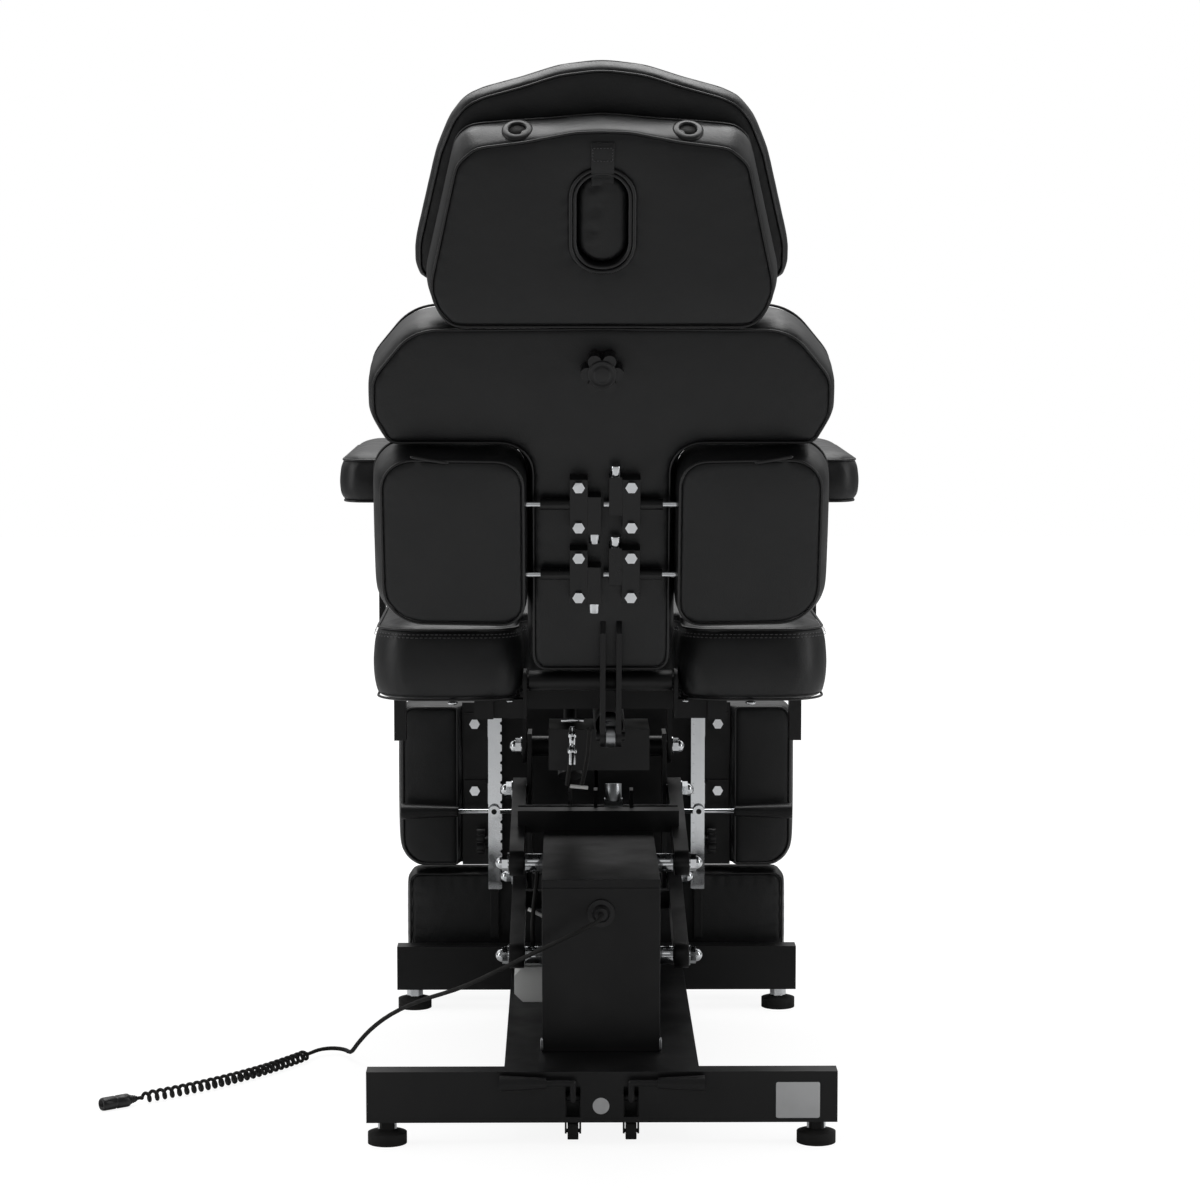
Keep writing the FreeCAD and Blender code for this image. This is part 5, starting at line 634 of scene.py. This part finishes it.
class CHAIR_OT_stage(bpy.types.Operator):
    """Camera, lamps, world and floor"""

    bl_idname = "chair.stage"
    bl_label = "Stage"

    def execute(self, context):
        sizes = context.scene.chair_sizes
        scene = context.scene
        camera = bpy.data.objects.new("camera", bpy.data.cameras.new("camera"))
        scene.collection.objects.link(camera)
        camera.data.lens = sizes.lens
        camera.data.sensor_width = 36
        camera.data.clip_end = 50
        camera.location = (-0.0435, -4.5954, 1.1205)
        camera.rotation_euler = (math.radians(90 - 5.777), 0, math.radians(-0.561))
        scene.camera = camera
        scene.view_settings.view_transform = "Standard"

        for name, power, size, place, aim in (
                ("top_softbox", sizes.key_power, (2.4, 1.6), (0, 0.3, 3.2), (0, -0.1, 0.8)),
                ("left_softbox", sizes.side_power, (0.7, 2.2), (-2.4, -0.9, 1.3), (0, 0, 0.7)),
                ("right_softbox", sizes.side_power, (0.7, 2.2), (2.4, -0.9, 1.3), (0, 0, 0.7)),
                ("far_softbox", sizes.far_power, (3.2, 1.2), (0, 3.4, 4.0), (0, 0, 1.1)),
                ("near_softbox", sizes.near_power, (3.0, 1.2), (0, -4.2, 2.6), (0, 0, 0.5))):
            lamp = bpy.data.objects.new(name, bpy.data.lights.new(name, "AREA"))
            lamp.data.shape = "RECTANGLE"
            lamp.data.size, lamp.data.size_y = size
            lamp.data.energy = power
            lamp.location = place
            lamp.rotation_euler = (Vector(place) - Vector(aim)).to_track_quat("Z", "Y").to_euler()
            scene.collection.objects.link(lamp)

        world = scene.world or bpy.data.worlds.new("studio")
        scene.world = world
        world.use_nodes = True
        tree = world.node_tree
        tree.nodes.clear()
        rays = add(tree, "LightPath")
        seen = worked(tree, "Math", "MAXIMUM", rays.outputs["Is Camera Ray"],
                      rays.outputs["Is Transmission Ray"])
        # The backdrop beyond the chair is white above and grey below, and the room on the camera's side is dim
        axes = add(tree, "SeparateXYZ", {0: add(tree, "TexCoord").outputs["Generated"]}).outputs
        height = spread(tree, axes["Z"], 0.12, 0.5, 0.22, 1.0)
        beyond = spread(tree, axes["Y"], -0.25, 0.45, 0.14, height)
        around = spread(tree, axes["Y"], -0.5, 0.5, 0.22, 0.4)
        ambient, glossy, white = (
            add(tree, "Background", {"Color": (1, 1, 1, 1), "Strength": strength}).outputs[0]
            for strength in (around, beyond, 1.0))
        first = add(tree, "MixShader", {0: rays.outputs["Is Glossy Ray"], 1: ambient, 2: glossy})
        second = add(tree, "MixShader", {0: seen, 1: first.outputs[0], 2: white})
        out = add(tree, "OutputWorld")
        tree.links.new(second.outputs[0], out.inputs[0])

        floor = solid("floor", [(-9, -9, 0), (9, -9, 0), (9, 9, 0), (-9, 9, 0)], [(0, 1, 2, 3)])
        paper = bpy.data.materials.new("studio paper, white matt")
        paper.use_nodes = True
        tree = paper.node_tree
        shader = tree.nodes["Principled BSDF"]
        shader.inputs["Base Color"].default_value = (0.8, 0.8, 0.8, 1)
        shader.inputs["Roughness"].default_value = 0.9
        shader.inputs["Specular IOR Level"].default_value = 0.0
        rays = add(tree, "LightPath")
        # Far from the chair the paper glows a little more, so that no horizon shows
        away = add(tree, "VectorMath", {0: add(tree, "TexCoord").outputs["Object"]}, operation="LENGTH")
        power = spread(tree, away.outputs["Value"], 0.7, 2.2, 1.2, 1.4)
        glow = add(tree, "Emission", {"Color": (1, 1, 1, 1), "Strength": power})
        share = worked(tree, "Math", "MULTIPLY", rays.outputs["Is Camera Ray"], 0.75)
        mixed = add(tree, "MixShader", {0: share, 1: shader.outputs[0], 2: glow.outputs[0]})
        tree.links.new(mixed.outputs[0], tree.nodes["Material Output"].inputs["Surface"])
        floor.data.materials.append(paper)
        return {"FINISHED"}


class CHAIR_OT_cord(bpy.types.Operator):
    """Lead, curls and plug of the control cord"""

    bl_idname = "chair.cord"
    bl_label = "Control cord"

    LEAD = [(0, 112, 276), (0, 88, 275), (-12, 68, 271), (-38, 62, 259), (-80, 88, 234), (-132, 146, 196),
            (-186, 214, 156), (-238, 286, 126), (-282, 350, 94), (-315, 400, 61), (-338, 434, 30),
            (-349, 460, 9.2), (-358, 484, 9.2), (-376, 494, 9.2), (-395, 486, 9.2), (-407, 462, 9.2)]
    CURL_AXIS = [(-409.1, 457.7, 9.2), (-481.9, 311.6, 9.2), (-615, 211, 9.2)]
    TURNS = 27
    STEPS = 16
    CURL_RADIUS = 6.0

    def execute(self, context):
        lead = [CHAIR @ Vector(p) for p in self.LEAD]
        axis = even(spline_points([CHAIR @ Vector(p) for p in self.CURL_AXIS]), 2 * MM, False)
        curls = []
        total = self.TURNS * self.STEPS
        for k in range(total + 1):
            share = k / total * (len(axis) - 1)
            low = min(int(share), len(axis) - 2)
            here = axis[low].lerp(axis[low + 1], share - low)
            way = (axis[low + 1] - axis[low]).normalized()
            outward = Vector((-way.y, way.x, 0))
            turn = k / self.STEPS
            swell = min(turn, self.TURNS - turn, 1)
            swell = swell * swell * (3 - 2 * swell) * self.CURL_RADIUS * MM
            angle = 2 * math.pi * turn
            curls.append(here + outward * (swell * math.cos(angle)) + Vector((0, 0, swell * math.sin(angle))))
        end_way = (axis[-1] - axis[-2]).normalized()
        tail = curls[-1] + end_way * (4.8 * MM)
        points = lead + curls + [tail]
        radii = [1.0] * (len(lead) - 2) + [0.92, 0.86] + [0.8] * (len(curls) + 1)
        cord = curve_of("control_cord", points, 3 * MM, radii)
        cord.data.materials.append(FINISHES["rubber"])
        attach(cord, "base")
        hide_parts("cord_lead", "cord_curls")
        plug = self.plug(tail, end_way)
        return {"FINISHED"}

    def plug(self, start, way):
        """A moulded round connector with a ribbed sleeve and a knurled ring."""
        profile = [(0, 3.4), (2, 3.6), (2.4, 4.6), (3.6, 4.6), (4, 3.9), (5.2, 4.0), (5.6, 5.4), (6.8, 5.4),
                   (7.2, 4.7), (8.6, 4.9), (9, 6.2), (10.4, 6.4), (10.8, 5.8), (12, 6.6), (13, 8.4),
                   (15, 8.9), (30, 8.9), (31, 8.0), (33, 8.0), (34, 8.9), (50, 8.9), (52, 8.6), (53.6, 7.6),
                   (53.6, 6.4), (46, 6.2)]
        side = Vector((-way.y, way.x, 0))
        up = Vector((0, 0, 1))
        rings = [circle(start + way * (along * MM), side, up, radius, 32, 0.03 if 34 <= along <= 50 else 0.0)
                 for along, radius in profile]
        plug = dressed(loft("cord_plug_body", rings), "black_plastic", "base")
        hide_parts("cord_plug")
        return plug


class CHAIR_OT_seat(bpy.types.Operator):
    """Seat cushion with its rear notch"""

    bl_idname = "chair.seat"
    bl_label = "Seat"

    def execute(self, context):
        sizes = context.scene.chair_sizes
        half_width, half_notch, rear, front = 298, 104, 170, 785
        notch_end = rear + 108
        bottom, seam = 547, 641
        outline = [(-half_width, rear), (-half_notch, rear), (-half_notch, notch_end), (half_notch, notch_end),
                   (half_notch, rear), (half_width, rear), (half_width, front), (-half_width, front)]
        line = rounded(outline, [60, 50, 18, 18, 50, 60, 60, 60])
        seat, (upper, lower) = plain_cushion("seat_pad", line, (bottom, seam, 15, 60, 9, 2.5),
                                             ((seam, 4.5), (bottom + 2, 4)), 7, FLAT, CHAIR)
        swollen([(seat, [upper, lower], sizes.swell_cap)])
        gathered(seat, upper, 26, 17, 0.9, 3)
        made_up(seat, "seat", ["seat_cushion"], [upper, lower])
        centre = CHAIR @ Vector((0, 480, 620))
        for index, drop in enumerate((6, 10)):
            row = ring(line, seam - drop, 2.4 - drop * 0.3, FLAT, CHAIR)
            stitches(f"seat_stitches_{index + 1}", row, sizes.stitch_pitch, "seat",
                     lambda p: Vector((p.x - centre.x, p.y - centre.y, 0)).normalized())
        return {"FINISHED"}


class CHAIR_OT_backrest(bpy.types.Operator):
    """Backrest cushion, shaped like a T"""

    bl_idname = "chair.backrest"
    bl_label = "Backrest"

    def execute(self, context):
        sizes = context.scene.chair_sizes
        half = [(94, 30), (94, 345), (273, 345), (295, 388), (295, 440), (240, 509), (0, 511)]
        radii = [24, 34, 24, 24, 48, 72, 96, 72, 48, 24, 24, 34, 24]
        line = rounded(mirrored(half), radii)
        rear_face, front_seam = -44, 45
        pad, seams = plain_cushion("backrest_pad", line, (rear_face, front_seam, 8, 41, 9, 0),
                                   ((rear_face + 1, 7), (front_seam, 3)), 7, UPRIGHT, BACK)
        swollen([(pad, seams, sizes.swell_cap * 0.6)])
        made_up(pad, "backrest", ["backrest_cushion"], seams)
        return {"FINISHED"}


class CHAIR_OT_side_pads(bpy.types.Operator):
    """Side pads on their rods"""

    bl_idname = "chair.side_pads"
    bl_label = "Side pads"

    # Depth, inner and outer edge, lower and upper edge, and inset of each ring
    DEPTHS = ((-79, 97, 281, 112, 344, 10), (-77, 97, 281, 112, 344, 2), (-60, 96, 287, 108, 344, 0),
              (-44, 95, 290, 106, 344, 0), (-20, 94.6, 291.5, 105, 344, 0), (-3, 94.6, 291.5, 105, 343, 1),
              (1, 95, 291, 106, 343, 12), (3, 95, 291, 106, 343, 38))

    def execute(self, context):
        sizes = context.scene.chair_sizes
        jobs = []
        for side, sign in SIDES:
            rings = []
            for depth, x0, x1, z0, z1, inset in self.DEPTHS:
                outline = [(sign * x0, z0), (sign * x1, z0 + 4), (sign * x1, z1), (sign * x0, z1 - 3)]
                line = counted(rounded(outline, [30, 54, 42, 36]), 130)
                rings.append(ring(line, depth, inset, UPRIGHT, BACK))
            pad = upholstered(f"side_pad_{side}_cover", rings, 6)
            jobs.append((pad, [rings[1], rings[5]], sizes.swell_cap))
        swollen(jobs)
        for (side, sign), (pad, seams, _) in zip(SIDES, jobs):
            gathered(pad, seams[0], 22, 15, 0.7, 11 + sign)
            made_up(pad, f"side_pad_{side}", [f"side_pad_{side}"], seams)
            self.seam_end(f"side_pad_{side}_seam_end", side, sign, 214, 342, seams[0])
        return {"FINISHED"}

    def seam_end(self, name, side, sign, x, z, rear):
        """The place where the two ends of a welt cross and are sewn under."""
        target = BACK @ Vector((sign * x, -77, z))
        start = min(range(len(rear)), key=lambda i: (rear[i] - target).length)
        line = []
        for k in range(-4, 5):
            here = rear[(start + k) % len(rear)].lerp(BACK @ Vector((sign * 190, -77, 221)), -0.012 + 0.008 * k)
            line.append(here + OUT_OF_BACK * (1.6 * MM * (1 - abs(k) / 4.5)))
        pipe(name, even(line, 3 * MM, False), 2.4, "piping", f"side_pad_{side}", closed=False,
             ends=0.5)


class CHAIR_OT_head(bpy.types.Operator):
    """Face cushion with its hole and plug, and the arched pad before it"""

    bl_idname = "chair.head"
    bl_label = "Headrest"

    # Half width, half height and middle of the face hole
    HOLE = (31, 57, 652)

    def stadium(self, half_width, half_height, step=3.0):
        """The outline of the face hole, grown or shrunk."""
        z = self.HOLE[2]
        points = oblong(-half_width, half_width, z - half_height, z + half_height)
        return rounded(points, [half_width * 0.96] * 4, step)

    def execute(self, context):
        sizes = context.scene.chair_sizes
        half = [(194, 517), (223, 562), (178, 757), (122, 762), (66, 766), (0, 772)]
        line = counted(rounded(mirrored(half), [34, 60, 34, 80, 80, 120, 80, 80, 34, 60, 34]), 200)
        half = [(193, 512), (216, 558), (180, 722), (156, 744), (94, 752), (34, 764), (0, 765)]
        rear_line = counted(rounded(mirrored(half), [34, 60, 24, 30, 80, 60, 60, 60, 80, 30, 24, 60, 34]), 200)
        rings = []
        for depth, share, inset in ((-65.5, 0, 9), (-63.5, 0, 2), (-58, 0.12, 0), (-44, 0.5, -1),
                                    (-28, 0.9, -1), (-16, 1, 0), (-7, 1, 2), (-4, 1, 10), (-1, 1, 28)):
            between = [a.lerp(b, share) for a, b in zip(rear_line, line)]
            rings.append(ring(between, depth, inset, UPRIGHT, BACK))
        half_width, half_height = self.HOLE[:2]
        hole = self.stadium(half_width + 1, half_height + 1, 5)
        cutter = loft("hole", rings_of(hole, ((-90, 0), (30, 0)), UPRIGHT, BACK))
        rear, front = rings[1], rings[6]
        rim_rear = ring(self.stadium(half_width + 6, half_height + 6), -64, 0, UPRIGHT, BACK)
        rim_front = ring(self.stadium(half_width + 2, half_height + 2), -3, 0, UPRIGHT, BACK)
        face = upholstered("face_pad", rings, 6, cutter)

        half = [(58, 546), (233, 546), (233, 598), (205, 716), (188, 758), (171, 780), (147, 791), (100, 804),
                (54, 819), (0, 826)]
        corners = [26, 30, 60, 80, 50, 40, 60, 110, 110]
        points = half + [(-x, y) for x, y in reversed(half[1:]) if x > 0] + [(-58, 546), (-58, 706), (58, 706)]
        arch_line = rounded(points, corners + [160] + corners[:0:-1] + [26, 42, 42])
        rear_face, front_seam = 8.6, 46.4
        arch, arch_seams = plain_cushion("arch_pad_cover", arch_line, (rear_face, front_seam, 8, 26, 8, 1.5),
                                         ((rear_face + 1, 6), (front_seam, 3)), 6, UPRIGHT, BACK)
        plug, plug_seams = plain_cushion("face_plug_cover", self.stadium(31.4, 57.4), (-61, -14, 6, 12, 7, 0.3),
                                         ((-50, -0.5),), 3.5, UPRIGHT, BACK)
        swollen([(face, [rear, front, rim_rear, rim_front], sizes.swell_cap * 0.8),
                 (arch, arch_seams, sizes.swell_cap * 0.8), (plug, plug_seams, 1.5)])
        gathered(face, rim_rear, 20, 19, 1.8, 21)
        crease = placed([(-9, 694, -62), (-6, 676, -62), (-10, 656, -62), (-14, 636, -62), (-12, 618, -62)],
                        UPRIGHT, BACK)
        gathered(plug, even(crease, 3 * MM, False), 14, 30, 4.0, 22)
        made_up(face, "headrest", ["face_cushion"], [rear, front])
        made_up(arch, "headrest", ["arch_pad"], arch_seams)
        made_up(plug, "face_plug", ["face_plug"], [])
        for index, (grow, depth) in enumerate(((3.0, -67.2), (8.2, -67.6))):
            rim = ring(self.stadium(half_width + grow, half_height + grow), depth, 0, UPRIGHT, BACK)
            pipe(f"face_hole_welt_{index + 1}", rim, 2.5, "piping", "headrest")
        self.tab()
        for side, sign in SIDES:
            self.grommet(f"face_pad_grommet_{side}", sign)
        return {"FINISHED"}

    def tab(self):
        """The pull tab of the plug, folded and box-stitched."""
        width, thick = 14.0, 2.2
        path = [(751, -68.5), (748, -70.5), (742, -71), (726, -70), (713, -68.5), (705, -64), (700, -60),
                (694, -59)]
        rings = []
        for z, y in path:
            rings.append([BACK @ Vector((x, y + dy, z)) for x, dy in
                          ((-width, -thick / 2), (width, -thick / 2), (width, thick / 2), (-width, thick / 2))])
        tab = loft("face_plug_tab", rings)
        modified(tab, "BEVEL", width=0.8 * MM, segments=2)
        applied(tab)
        dressed(tab, "leather", "face_plug")
        box = placed([(-12, 745, -72.3), (12, 745, -72.3), (12, 729, -71.4), (-12, 729, -71.4)], UPRIGHT, BACK)
        stitches("face_plug_tab_stitches", box, 4.0, "face_plug", OUT_OF_BACK)

    def grommet(self, name, sign):
        """A press-in vent ring on the top band of the face cushion."""
        centre = BACK @ Vector((sign * 104, -42, 759))
        up = (BACK.to_3x3() @ Vector((sign * 0.07, -0.42, 1))).normalized()
        side = Vector((1, 0, 0)) - up * up.x
        side.normalize()
        back = up.cross(side).normalized()
        profile = [(10.5, -9), (10.5, 1.4), (11.2, 2.6), (13, 3.0), (17, 2.2), (19, 0.9), (19.2, -8)]
        rings = [circle(centre + up * (h * MM), side, back, r, 40) for r, h in profile]
        dressed(loft(name, rings, open_end=True), "black_plastic", "headrest")
        bore = [circle(centre + up * (h * MM), side, back, 10.4, 40) for h in (-2.4, 0.3)]
        dressed(loft(f"{name}_screen", bore), "rubber", "headrest")


class CHAIR_OT_armrests(bpy.types.Operator):
    """Armrest pads on their posts"""

    bl_idname = "chair.armrests"
    bl_label = "Armrests"

    def execute(self, context):
        sizes = context.scene.chair_sizes
        jobs = []
        for side, sign in SIDES:
            line = rounded(oblong(sign * 268, sign * 348, 300, 690), [34] * 4)
            bottom, seam = 798, 855
            jobs.append((*plain_cushion(f"armrest_{side}_cover", line, (bottom, seam, 12, 30, 7, 2.5),
                                        ((seam, 3.5), (bottom + 2, 5)), 6, FLAT, CHAIR), sizes.swell_cap * 0.4))
        swollen(jobs)
        for (side, _), (pad, seams, _) in zip(SIDES, jobs):
            made_up(pad, f"armrest_{side}", [f"armrest_pad_{side}"], seams)
        return {"FINISHED"}


class CHAIR_OT_leg_rests(bpy.types.Operator):
    """Leg cushions and foot pads"""

    bl_idname = "chair.leg_rests"
    bl_label = "Leg rests"

    def execute(self, context):
        sizes = context.scene.chair_sizes
        jobs = []
        for side, sign in SIDES:
            line = rounded(oblong(sign * 2.5, sign * 298, 205, 456), [6, 44, 24, 6])
            wrap_line = rounded(oblong(sign * 204, sign * 298, 205, 456), [9, 44, 24, 9])
            levels = ((863.5, 0.5), (866, 0), (880, -1), (905, -1), (912, 2), (918, 8), (920, 22))
            rings = rings_of(line, levels, UPRIGHT, CHAIR)
            levels = ((838, 9), (840, 3), (846, 0), (880, 0.2), (900, 3))
            wrap = loft("wrap", rings_of(wrap_line, levels, UPRIGHT, CHAIR))
            main = upholstered(f"leg_{side}_cover", rings, 6, wrap, "UNION")
            seams = [ring(line, 912, 3, UPRIGHT, CHAIR), ring(wrap_line, 839, 6, UPRIGHT, CHAIR)]
            jobs.append((main, seams, sizes.swell_cap * 0.6))

            foot_line = rounded(oblong(sign * 20, sign * 286, 50, 199), [16] * 4)
            rear_face, front_seam = 841, 906
            foot, seams = plain_cushion(f"foot_{side}_cover", foot_line, (rear_face, front_seam, 8, 22, 5, 1.5),
                                        ((rear_face + 1, 4), (front_seam, 3)), 5.5, UPRIGHT, CHAIR)
            jobs.append((foot, seams, sizes.swell_cap))
        swollen(jobs)
        for (side, sign), (main, leg_seams, _), (foot, foot_seams, _) in zip(SIDES, jobs[::2], jobs[1::2]):
            made_up(main, f"leg_{side}", [f"leg_cushion_{side}"], leg_seams)
            gathered(foot, foot_seams[0], 34, 21, 2.6, 31 + sign)
            made_up(foot, f"foot_{side}", [f"foot_pad_{side}"], foot_seams)
        return {"FINISHED"}


class CHAIR_OT_metal(bpy.types.Operator):
    """Finishes and broken edges of the metal and plastic parts"""

    bl_idname = "chair.metal"
    bl_label = "Metal parts"

    def execute(self, context):
        slots = {row["node"]: row["material_slot"] for row in frame["record"]["subparts"]}
        for name, node in frame["nodes"].items():
            if node.hide_render:
                continue
            material = FINISHES[next((key for key in FINISHES if name.startswith(key + "_")), slots[name])]
            for index in range(max(1, len(node.material_slots))):
                if node.material_slots:
                    node.material_slots[index].material = material
                else:
                    node.data.materials.append(material)
            modified(node, "WELD", merge_threshold=0.02 * MM)
            modified(node, "BEVEL", width=0.7 * MM, segments=2, limit_method="ANGLE",
                     angle_limit=math.radians(40), harden_normals=False, use_clamp_overlap=True)
        return {"FINISHED"}


class CHAIR_OT_details(bpy.types.Operator):
    """Blank plates, screws, cables, the knob's cap, weld beads and ratchet teeth"""

    bl_idname = "chair.details"
    bl_label = "Small parts"

    def execute(self, context):
        self.blank_plates()
        self.screws()
        self.cables()
        self.knob_cap()
        self.welds()
        self.ratchets()
        return {"FINISHED"}

    def blank_plates(self):
        """The blank plate and the blank round sticker on the rear beam."""
        line = rounded(oblong(221.5, 277.5, 34.5, 81), [2] * 4, 2)
        plate = loft("rear_beam_plate", rings_of(line, ((0.1, 0), (-0.3, 0), (-0.4, 0.3)), UPRIGHT, CHAIR))
        dressed(plate, "label", "base")
        round_line = [Vector((-1.3 + 10.6 * math.cos(a), 50.5 + 10.6 * math.sin(a)))
                      for a in (2 * math.pi * k / 40 for k in range(40))]
        levels = ((0.1, 0), (-0.2, 0), (-0.3, 0.2))
        sticker = loft("rear_beam_sticker", rings_of(round_line, levels, UPRIGHT, CHAIR))
        dressed(sticker, "label", "base")

    def turned(self, name, profile, centre, axis, finish_name, body, slot=None, count=24):
        """A round part turned from a profile of distances along its axis and radii."""
        axis = axis.normalized()
        side = axis.orthogonal().normalized()
        other = axis.cross(side)
        rings = [circle(centre + axis * (along * MM), side, other, radius, count) for along, radius in profile]
        return dressed(loft(name, rings), finish_name, body)

    def screws(self):
        """Pan-head screws that hold the seat board to its frame."""
        head = [(0, 4), (0.6, 6.5), (2.0, 6.9), (3.6, 5.6), (4.4, 3.4), (4.7, 1.6), (3.6, 1.4)]
        for index, (x, y, z) in enumerate(((-194, 185, 545.5), (197, 185, 545.5), (-120, 205, 545.5),
                                           (112, 205, 545.5))):
            self.turned(f"seat_screw_{index + 1}", head, CHAIR @ Vector((x, y, z)), Vector((0, 0, -1)),
                        "chrome", "seat", "chrome")

    def cables(self):
        """Release cables with their forks, ferrules and ties."""
        routes = (("cable_fork", "seat", [(-37, 300, 478), (-38, 302, 460), (-40, 308, 442), (-43, 322, 424),
                                          (-44, 338, 411)]),
                  ("cable_lever", "seat", [(-14, 268, 498), (-15, 284, 470), (-19, 312, 436), (-24, 338, 412)]),
                  ("cable_low", "base", [(-84, 412, 300), (-86, 416, 264), (-92, 418, 220), (-93, 420, 180),
                                         (-90, 424, 150)]))
        for name, body, points in routes:
            line = even(spline_points([CHAIR @ Vector(p) for p in points]), 5 * MM, False)
            pipe(name, line, 3.0, "rubber", body, closed=False)
        fork = [(0, 2.4), (2, 4.2), (9, 4.4), (10, 5.6), (15, 5.6), (16, 4.2), (30, 4.2), (31, 6.4), (37, 6.4),
                (38, 4.6), (52, 4.6), (54, 3.4)]
        self.turned("cable_fork_ferrule", fork, CHAIR @ Vector((-37, 299, 497)), Vector((0, 0.05, -1)),
                    "chrome", "seat", "chrome")
        pin = [(0, 2.2), (0.5, 2.8), (30, 2.8), (30.5, 2.2)]
        self.turned("cable_fork_pin", pin, CHAIR @ Vector((-52, 299, 505)), Vector((1, 0, 0)),
                    "chrome", "seat", "chrome")
        band = [(-7, 2.2), (-6.5, 2.6), (17, 2.6), (17.5, 2.2)]
        ties = ((-33, 340, 408, 0.1, "seat"), (-92, 420, 220, 0.5, "base"))
        for index, (x, y, z, lean, body) in enumerate(ties):
            self.turned(f"cable_tie_{index + 1}", band, CHAIR @ Vector((x, y, z)), Vector((1, 0, -lean)),
                        "white_plastic", body)

    def knob_cap(self):
        """The stepped cap pressed into the star knob of the headrest."""
        profile = [(0, 18), (1.4, 18), (2.2, 16.8), (2.2, 15.4), (1.2, 14.2), (1.2, 10.8), (2.2, 10),
                   (2.6, 8.8), (2.8, 1)]
        self.turned("headrest_knob_cap", profile, BACK @ Vector((0, -72, 454.5)), OUT_OF_BACK, "black_plastic",
                    "headrest_knob", "black_plastic", 40)

    def welds(self):
        """Bare weld beads at the rear corners of the column."""
        for side, sign in SIDES:
            line = [CHAIR @ Vector((sign * 77.5, 119 - k % 2 * 0.6, 93.5 + 3 * k)) for k in range(7)]
            pipe(f"column_weld_{side}", line, 1.8, "steel", "base", closed=False, ends=0.5)

    def ratchets(self):
        """Toothed strips on the rear faces of the leg rails."""
        for side, sign in SIDES:
            x0 = 142.5 if sign > 0 else -147.5
            outer, pitch, top, bottom = 5.0, 15.0, 476.0, 177.0
            points = [(x0, bottom), (x0 + outer, bottom)]
            z = bottom
            while z + pitch <= top:
                points += [(x0 + outer, z + pitch * 0.62), (x0 + outer - 2.4, z + pitch * 0.7),
                           (x0 + outer - 2.4, z + pitch * 0.9), (x0 + outer, z + pitch)]
                z += pitch
            points += [(x0 + outer, top), (x0, top)]
            rings = [placed([(a, b, d) for a, b in points], UPRIGHT, CHAIR) for d in (817.6, 816.0)]
            strip = loft(f"leg_{side}_ratchet", rings)
            for face in strip.data.polygons:
                face.use_smooth = False
            dressed(strip, "chrome", f"leg_{side}")


class CHAIR_PT_panel(bpy.types.Panel):
    """Lists what the chair is built from"""

    bl_label = "Tattoo Chair"
    bl_idname = "CHAIR_PT_panel"
    bl_space_type = "VIEW_3D"
    bl_region_type = "UI"
    bl_category = "Chair"

    def draw(self, context):
        sizes = context.scene.chair_sizes
        for name in ChairSizes.__annotations__:
            self.layout.prop(sizes, name)
        for operator in OPERATORS:
            self.layout.operator(operator.bl_idname)


OPERATORS = (CHAIR_OT_stage, CHAIR_OT_cord, CHAIR_OT_seat, CHAIR_OT_backrest, CHAIR_OT_side_pads, CHAIR_OT_head,
             CHAIR_OT_armrests, CHAIR_OT_leg_rests, CHAIR_OT_metal, CHAIR_OT_details)
CLASSES = (ChairSizes, *OPERATORS, CHAIR_PT_panel)


def register():
    for entry in CLASSES:
        bpy.utils.register_class(entry)
    bpy.types.Scene.chair_sizes = bpy.props.PointerProperty(type=ChairSizes)


def unregister():
    del bpy.types.Scene.chair_sizes
    for entry in reversed(CLASSES):
        bpy.utils.unregister_class(entry)


def main():
    register()
    for operator in OPERATORS:
        group, call = operator.bl_idname.split(".")
        getattr(getattr(bpy.ops, group), call)()
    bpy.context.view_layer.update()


if __name__ == "__main__":
    main()
